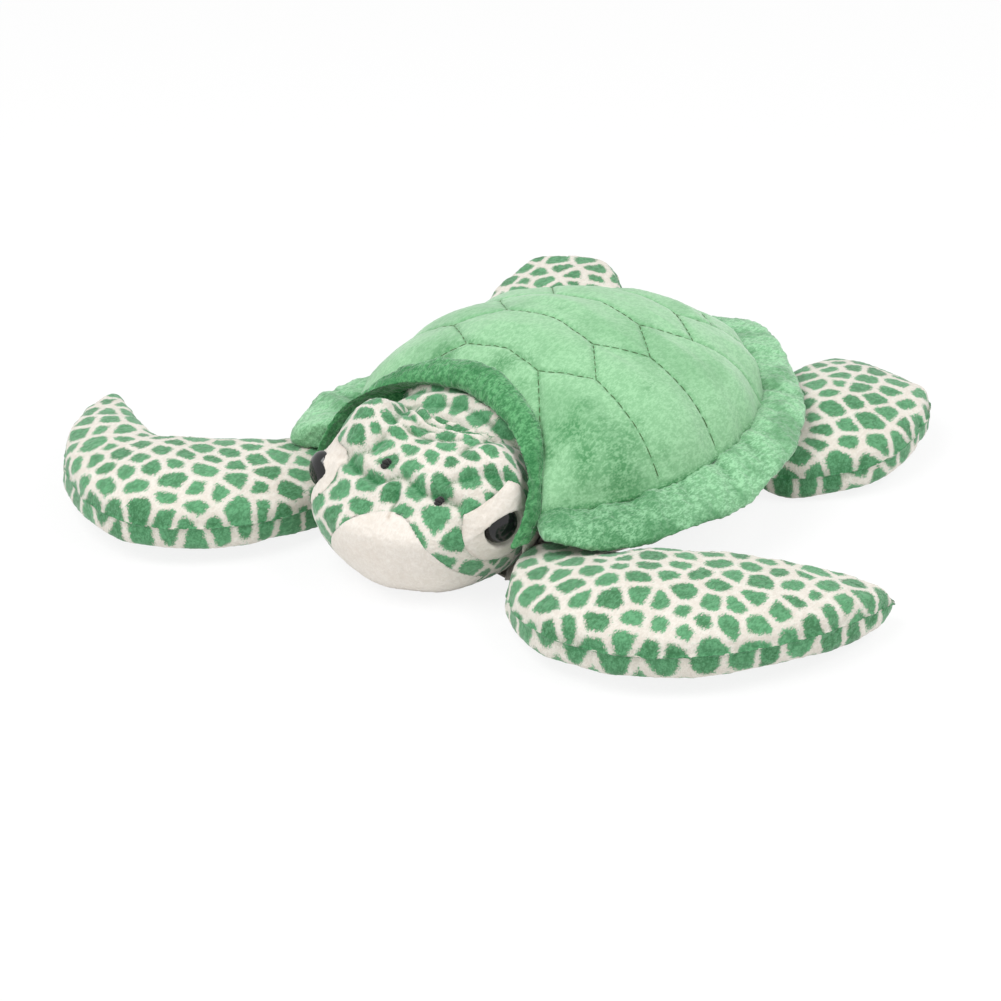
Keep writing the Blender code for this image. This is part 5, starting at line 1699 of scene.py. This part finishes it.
def muzzle_region(places):
    """How far each place lies outside the muzzle's outline; inside is negative."""
    aside = places[:, 0] - FACE_SHIFT - MUZZLE_LEAN
    x = aside / np.where(aside > 0, MUZZLE_HALF_WIDTH - MUZZLE_LEAN, MUZZLE_HALF_WIDTH + MUZZLE_LEAN / 2)
    z = (places[:, 2] + NECK_HEIGHT - MUZZLE_BASE) / (MUZZLE_RISE + MUZZLE_HIGHER)
    outside = (np.sqrt(x ** 2 + z ** 2) - 1) * MUZZLE_RISE
    behind = places[:, 1] + HEAD_REACH + MUZZLE_BACK
    return np.maximum(outside, behind)


def shape_eye(places, smooth, fold, tag):
    """Forms the eye patch: its seam, the pocket of the eye and the soft lid over it, with painted shade
    along the seam.
    """
    place, outward = eye_axes(tag)
    outward = np.array(HEAD_FRAME.inverted())[:3, :3] @ outward
    sideways = unit(np.cross(UP, outward))
    upward = np.cross(outward, sideways)
    apart = smooth - in_head(place[None])[0]
    across, up, out = apart @ sideways, apart @ upward, apart @ outward
    patch, radius = EYE_PATCH_DIAMETER / 2, EYE_DIAMETER / 2
    sink, cheek_height, lid_rise, lid_line, lid_side, tilt, flat_share = EYE_FITS[tag]
    near = np.abs(out) < patch
    reach = np.where(near, np.hypot(across, up), FAR_AWAY)
    stretch = np.where(across * SIDES[tag] < 0, EYE_PATCH_SHARE, 1.0)
    oval = np.where(near, np.hypot(stretch * across, up), FAR_AWAY)
    edge = np.maximum(oval - patch, up - EYE_PATCH_TOP_SHARE * patch - 0.28 * across * (tag == "left"))
    level = EYE_PATCH_LIFT * np.exp(-(reach / patch) ** 4)
    level -= EYE_PATCH_SEAM * bell(edge, EYE_PATCH_SEAM_WIDTH)
    flattened = flat_share * np.exp(-(reach / (radius + EYE_FLAT_REACH)) ** 4) * near
    places = places + (smooth - places) * flattened[:, None]
    pocket = -sink - EYE_SEAT - CLOTH - out
    inside = smooth_step(radius + EYE_POCKET_ROOM - reach, -MM, EYE_POCKET_ROOM)
    cheek = cheek_height * bell(reach - radius - CHEEK_REACH, CHEEK_REACH)
    cheek *= 1 - 0.6 * smooth_step(across, CHEEK_NEAR, CHEEK_FAR)
    above = up - lid_line - tilt * across + across ** 2 / LID_CURVE
    lid = lid_rise * bell(np.maximum(above - MM, 0), LID_REACH)
    lid *= np.exp(-(across / lid_side) ** 4) * (0.3 + 0.7 * smooth_step(-edge, 0, LID_EDGE_FADE))
    low = (level + cheek) * (1 - inside) + pocket * inside
    over = smooth_step(above, -LID_BELOW, LID_ABOVE)
    push = low * (1 - over) + (level + lid) * over
    push = np.where(near & (reach < 1.6 * patch), push, 0.0)
    # Painted shade along the patch's seam; the crease shade inside the patch is weakened
    seam = np.where(near, 0.3 * bell(edge, PATCH_SHADE_WIDTH), 0)
    fold = np.maximum(fold * np.where(edge < 0, 0.3, 1.0), seam)
    return places + outward * push[:, None], fold, np.where(near, edge, FAR_AWAY)


def snapped(places, smooth, faces, region):
    """Moves the corners next to a region's edge onto it, so that the cut runs smoothly."""
    normal = normals_of(smooth, faces)
    total = np.zeros((len(places), 3))
    count = np.zeros(len(places))
    for first, second in ((0, 1), (1, 2), (2, 3), (3, 0)):
        a, b = faces[:, first], faces[:, second]
        apart = smooth[b] - smooth[a]
        rise = (region[b] - region[a]) / np.maximum(np.sum(apart ** 2, axis=1), 1e-12)
        for corner in (a, b):
            total += summed(corner, apart * rise[:, None], len(places))
            count += np.bincount(corner, minlength=len(places))
    slope = 2 * total / np.maximum(count, 1)[:, None]
    slope -= normal * np.sum(slope * normal, axis=1)[:, None]
    steep = np.maximum(np.sum(slope ** 2, axis=1), 0.2)
    close = np.abs(region) < 0.55 * MESH_STEP
    move = np.where(close, -region / steep, 0.0)[:, None] * slope
    region[close] = 0.0
    return places + move, smooth + move


def make_neck():
    """The gathered neck behind the head, wide where it turns under the collar."""
    angles = np.linspace(NECK_HOLE_ANGLE * 0.9, NECK_LAST_ANGLE, NECK_RINGS)
    turns = np.linspace(0, math.tau, NECK_SIDES, endpoint=False)
    angle, turn = np.meshgrid(angles, turns, indexing="ij")
    waves = angle * NECK_WRINKLES + 1.6 * np.sin(turn * 2 + 0.4) + 0.9 * np.sin(turn * 5)
    wrinkle = 1 + NECK_WRINKLE_SHARE * np.sin(waves) * smooth_step(np.sin(turn), -0.4, 0.3)
    corner = 1 + 0.11 * np.sin(2 * turn) ** 2 * (np.sin(turn) > 0)
    radius = (NECK_RADIUS - CLOTH) * wrinkle * corner
    wide = 1.24 - 0.2 * np.sin(turn) ** 2
    places = np.stack((radius * wide * np.sin(angle) * np.cos(turn), radius * np.cos(angle),
                       radius * 1.02 * np.sin(angle) * np.sin(turn)), axis=-1).reshape(-1, 3)
    faces = turned_outwards(places, grid_faces(NECK_RINGS, NECK_SIDES, closed=True), np.zeros(3))
    edges, tones = spot_edges(places, 64)
    # Painted shade in the troughs of the wrinkles
    fold = 0.55 * smooth_step(-np.sin(waves), 0.3, 1.0).reshape(-1)
    places = nap(out_of_head(places), faces, 65)
    places[:, 2] = np.maximum(places[:, 2], NECK_UNDERSIDE)
    neck = add_piece("neck_plush", places, faces, bpy.data.materials["spotted_plush_look"], "head",
                     {"fold": fold, "spot": edges, "tone": tones})
    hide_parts("head_skin")


class TURTLE_OT_eyes(bpy.types.Operator):
    """Makes the glossy eyes and the nostril knots"""

    bl_idname = "turtle.eyes"
    bl_label = "Eyes and nostrils"

    def execute(self, context):
        """Turns the eyes and winds the nostrils."""
        black = plastic("eye_plastic_look", colours().eye, 0.07)
        knot = fibre("nostril_thread_look", colours().knot, darker(colours().knot, 0.4), KNOT_HAIR)
        for tag in SIDES:
            make_eye(tag, black)
            make_nostril(tag, knot)
        return {"FINISHED"}


def make_eye(tag, material):
    """One domed eye with its shank."""
    place, outward = eye_axes(tag)
    place = place - outward * EYE_FITS[tag][0]
    radius, shank = EYE_DIAMETER / 2, EYE_SHANK_DIAMETER / 2
    profile = []
    for angle in np.linspace(math.pi / 2, 0, EYE_DOME_RINGS):
        profile.append((radius * math.cos(angle), EYE_SEAT + EYE_CROWN * math.sin(angle)))
    profile += [(radius * 0.97, EYE_SEAT - EYE_BEVEL), (shank * 1.1, EYE_SEAT - EYE_BEVEL),
                (shank, EYE_SEAT - EYE_SHANK_ROOT), (shank, EYE_SEAT - EYE_SHANK_LENGTH),
                (0.0, EYE_SEAT - EYE_SHANK_LENGTH)]
    turn = np.linspace(0, math.tau, EYE_SIDES, endpoint=False)
    across = unit(np.cross(UP, outward))
    upward = np.cross(outward, across)
    ring = np.cos(turn)[:, None] * across + np.sin(turn)[:, None] * upward
    places = np.concatenate([place + outward * height + ring * reach for reach, height in profile])
    faces = turned_outwards(places, grid_faces(len(profile), EYE_SIDES, closed=True), place)
    eye = add_piece("eye_" + tag + "_gloss", places, faces, material, "head",
                    thickness=0.0)
    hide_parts("eye_" + tag)


def make_nostril(tag, material):
    """A small knot of thick thread."""
    low, high = (np.array(corner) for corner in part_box("nostril_" + tag))
    middle = (low + high) / 2 + np.array(NOSTRIL_PULLS[tag])
    outward = np.array(HEAD_FRAME.to_3x3() @ Vector((0, -0.45, 0.9)).normalized())
    across = np.array(HEAD_FRAME.to_3x3() @ Vector((1, 0, 0)))
    ahead = np.cross(outward, across)
    skin = bpy.data.objects["head_skin_plush"]
    tree = BVHTree.FromObject(skin, bpy.context.evaluated_depsgraph_get())
    top = np.array(dropped(tree, middle[0], middle[1])) - outward * (NOSTRIL_DIAMETER * 0.06)
    corners, faces = [], []
    half = NOSTRIL_DIAMETER / 2
    for share in np.linspace(-1, 1, NOSTRIL_STRANDS):
        foot = top + across * (share * half * 0.72)
        length = half * math.sqrt(1 - 0.8 * share ** 2) * 1.1
        peak = foot + outward * (half * 0.5 * (1 - share ** 2)) + outward * half * 0.3
        bend = ahead * length * 0.45
        path = (foot - ahead * length, peak - bend, peak + bend, foot + ahead * length)
        for start, end in zip(path, path[1:]):
            add_stitch(corners, faces, start, end, half * 0.26)
    knot = add_piece("nostril_" + tag + "_knot", np.array(corners), np.array(faces), material, "head",
                     thickness=0.0)
    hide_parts("nostril_" + tag)


class TURTLE_OT_fillings(bpy.types.Operator):
    """Gives the inner pieces their finishes"""

    bl_idname = "turtle.fillings"
    bl_label = "Fillings"

    def execute(self, context):
        """Assigns the finishes of stuffing, pouch and washers."""
        looks = {
            "stuffing": fibre("stuffing_look", linear(236, 236, 232), linear(200, 200, 196), STUFFING_HAIR),
            "pouch": fibre("pouch_cloth_look", linear(170, 170, 172), linear(120, 120, 124), POUCH_HAIR),
            "washer": fibre("washer_plastic_look", linear(215, 215, 210), linear(190, 190, 186),
                            WASHER_GRAIN),
        }
        for name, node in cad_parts.items():
            for kind, look in looks.items():
                if kind in name:
                    node.data.materials.clear()
                    node.data.materials.append(look)
        return {"FINISHED"}


class TURTLE_PT_panel(bpy.types.Panel):
    """Lists the pieces of the turtle"""

    bl_idname = "TURTLE_PT_panel"
    bl_label = "Plush Turtle"
    bl_space_type = "VIEW_3D"
    bl_region_type = "UI"
    bl_category = "Plush Turtle"

    def draw(self, context):
        """Draws the properties and the buttons."""
        layout = self.layout
        for group in (context.scene.turtle_colours, context.scene.turtle_sizes):
            for name in group.bl_rna.properties.keys():
                if name not in ("rna_type", "name"):
                    layout.prop(group, name)
        for operator in OPERATORS:
            layout.operator(operator.bl_idname)


OPERATORS = (
    TURTLE_OT_stage,
    TURTLE_OT_shell,
    TURTLE_OT_belly,
    TURTLE_OT_rim,
    TURTLE_OT_collar,
    TURTLE_OT_flippers,
    TURTLE_OT_head,
    TURTLE_OT_eyes,
    TURTLE_OT_fillings,
)
CLASSES = (TurtleColours, TurtleSizes, *OPERATORS, TURTLE_PT_panel)


def register():
    """Registers the classes and the scene's properties."""
    for kind in CLASSES:
        bpy.utils.register_class(kind)
    bpy.types.Scene.turtle_colours = bpy.props.PointerProperty(type=TurtleColours)
    bpy.types.Scene.turtle_sizes = bpy.props.PointerProperty(type=TurtleSizes)


def unregister():
    """Removes the classes and the scene's properties."""
    del bpy.types.Scene.turtle_sizes
    del bpy.types.Scene.turtle_colours
    for kind in reversed(CLASSES):
        bpy.utils.unregister_class(kind)


def main():
    """Makes every piece."""
    register()
    bpy.ops.turtle.stage()
    bpy.ops.turtle.shell()
    bpy.ops.turtle.belly()
    bpy.ops.turtle.rim()
    bpy.ops.turtle.collar()
    bpy.ops.turtle.flippers()
    bpy.ops.turtle.head()
    bpy.ops.turtle.eyes()
    bpy.ops.turtle.fillings()


if __name__ == "__main__":
    main()
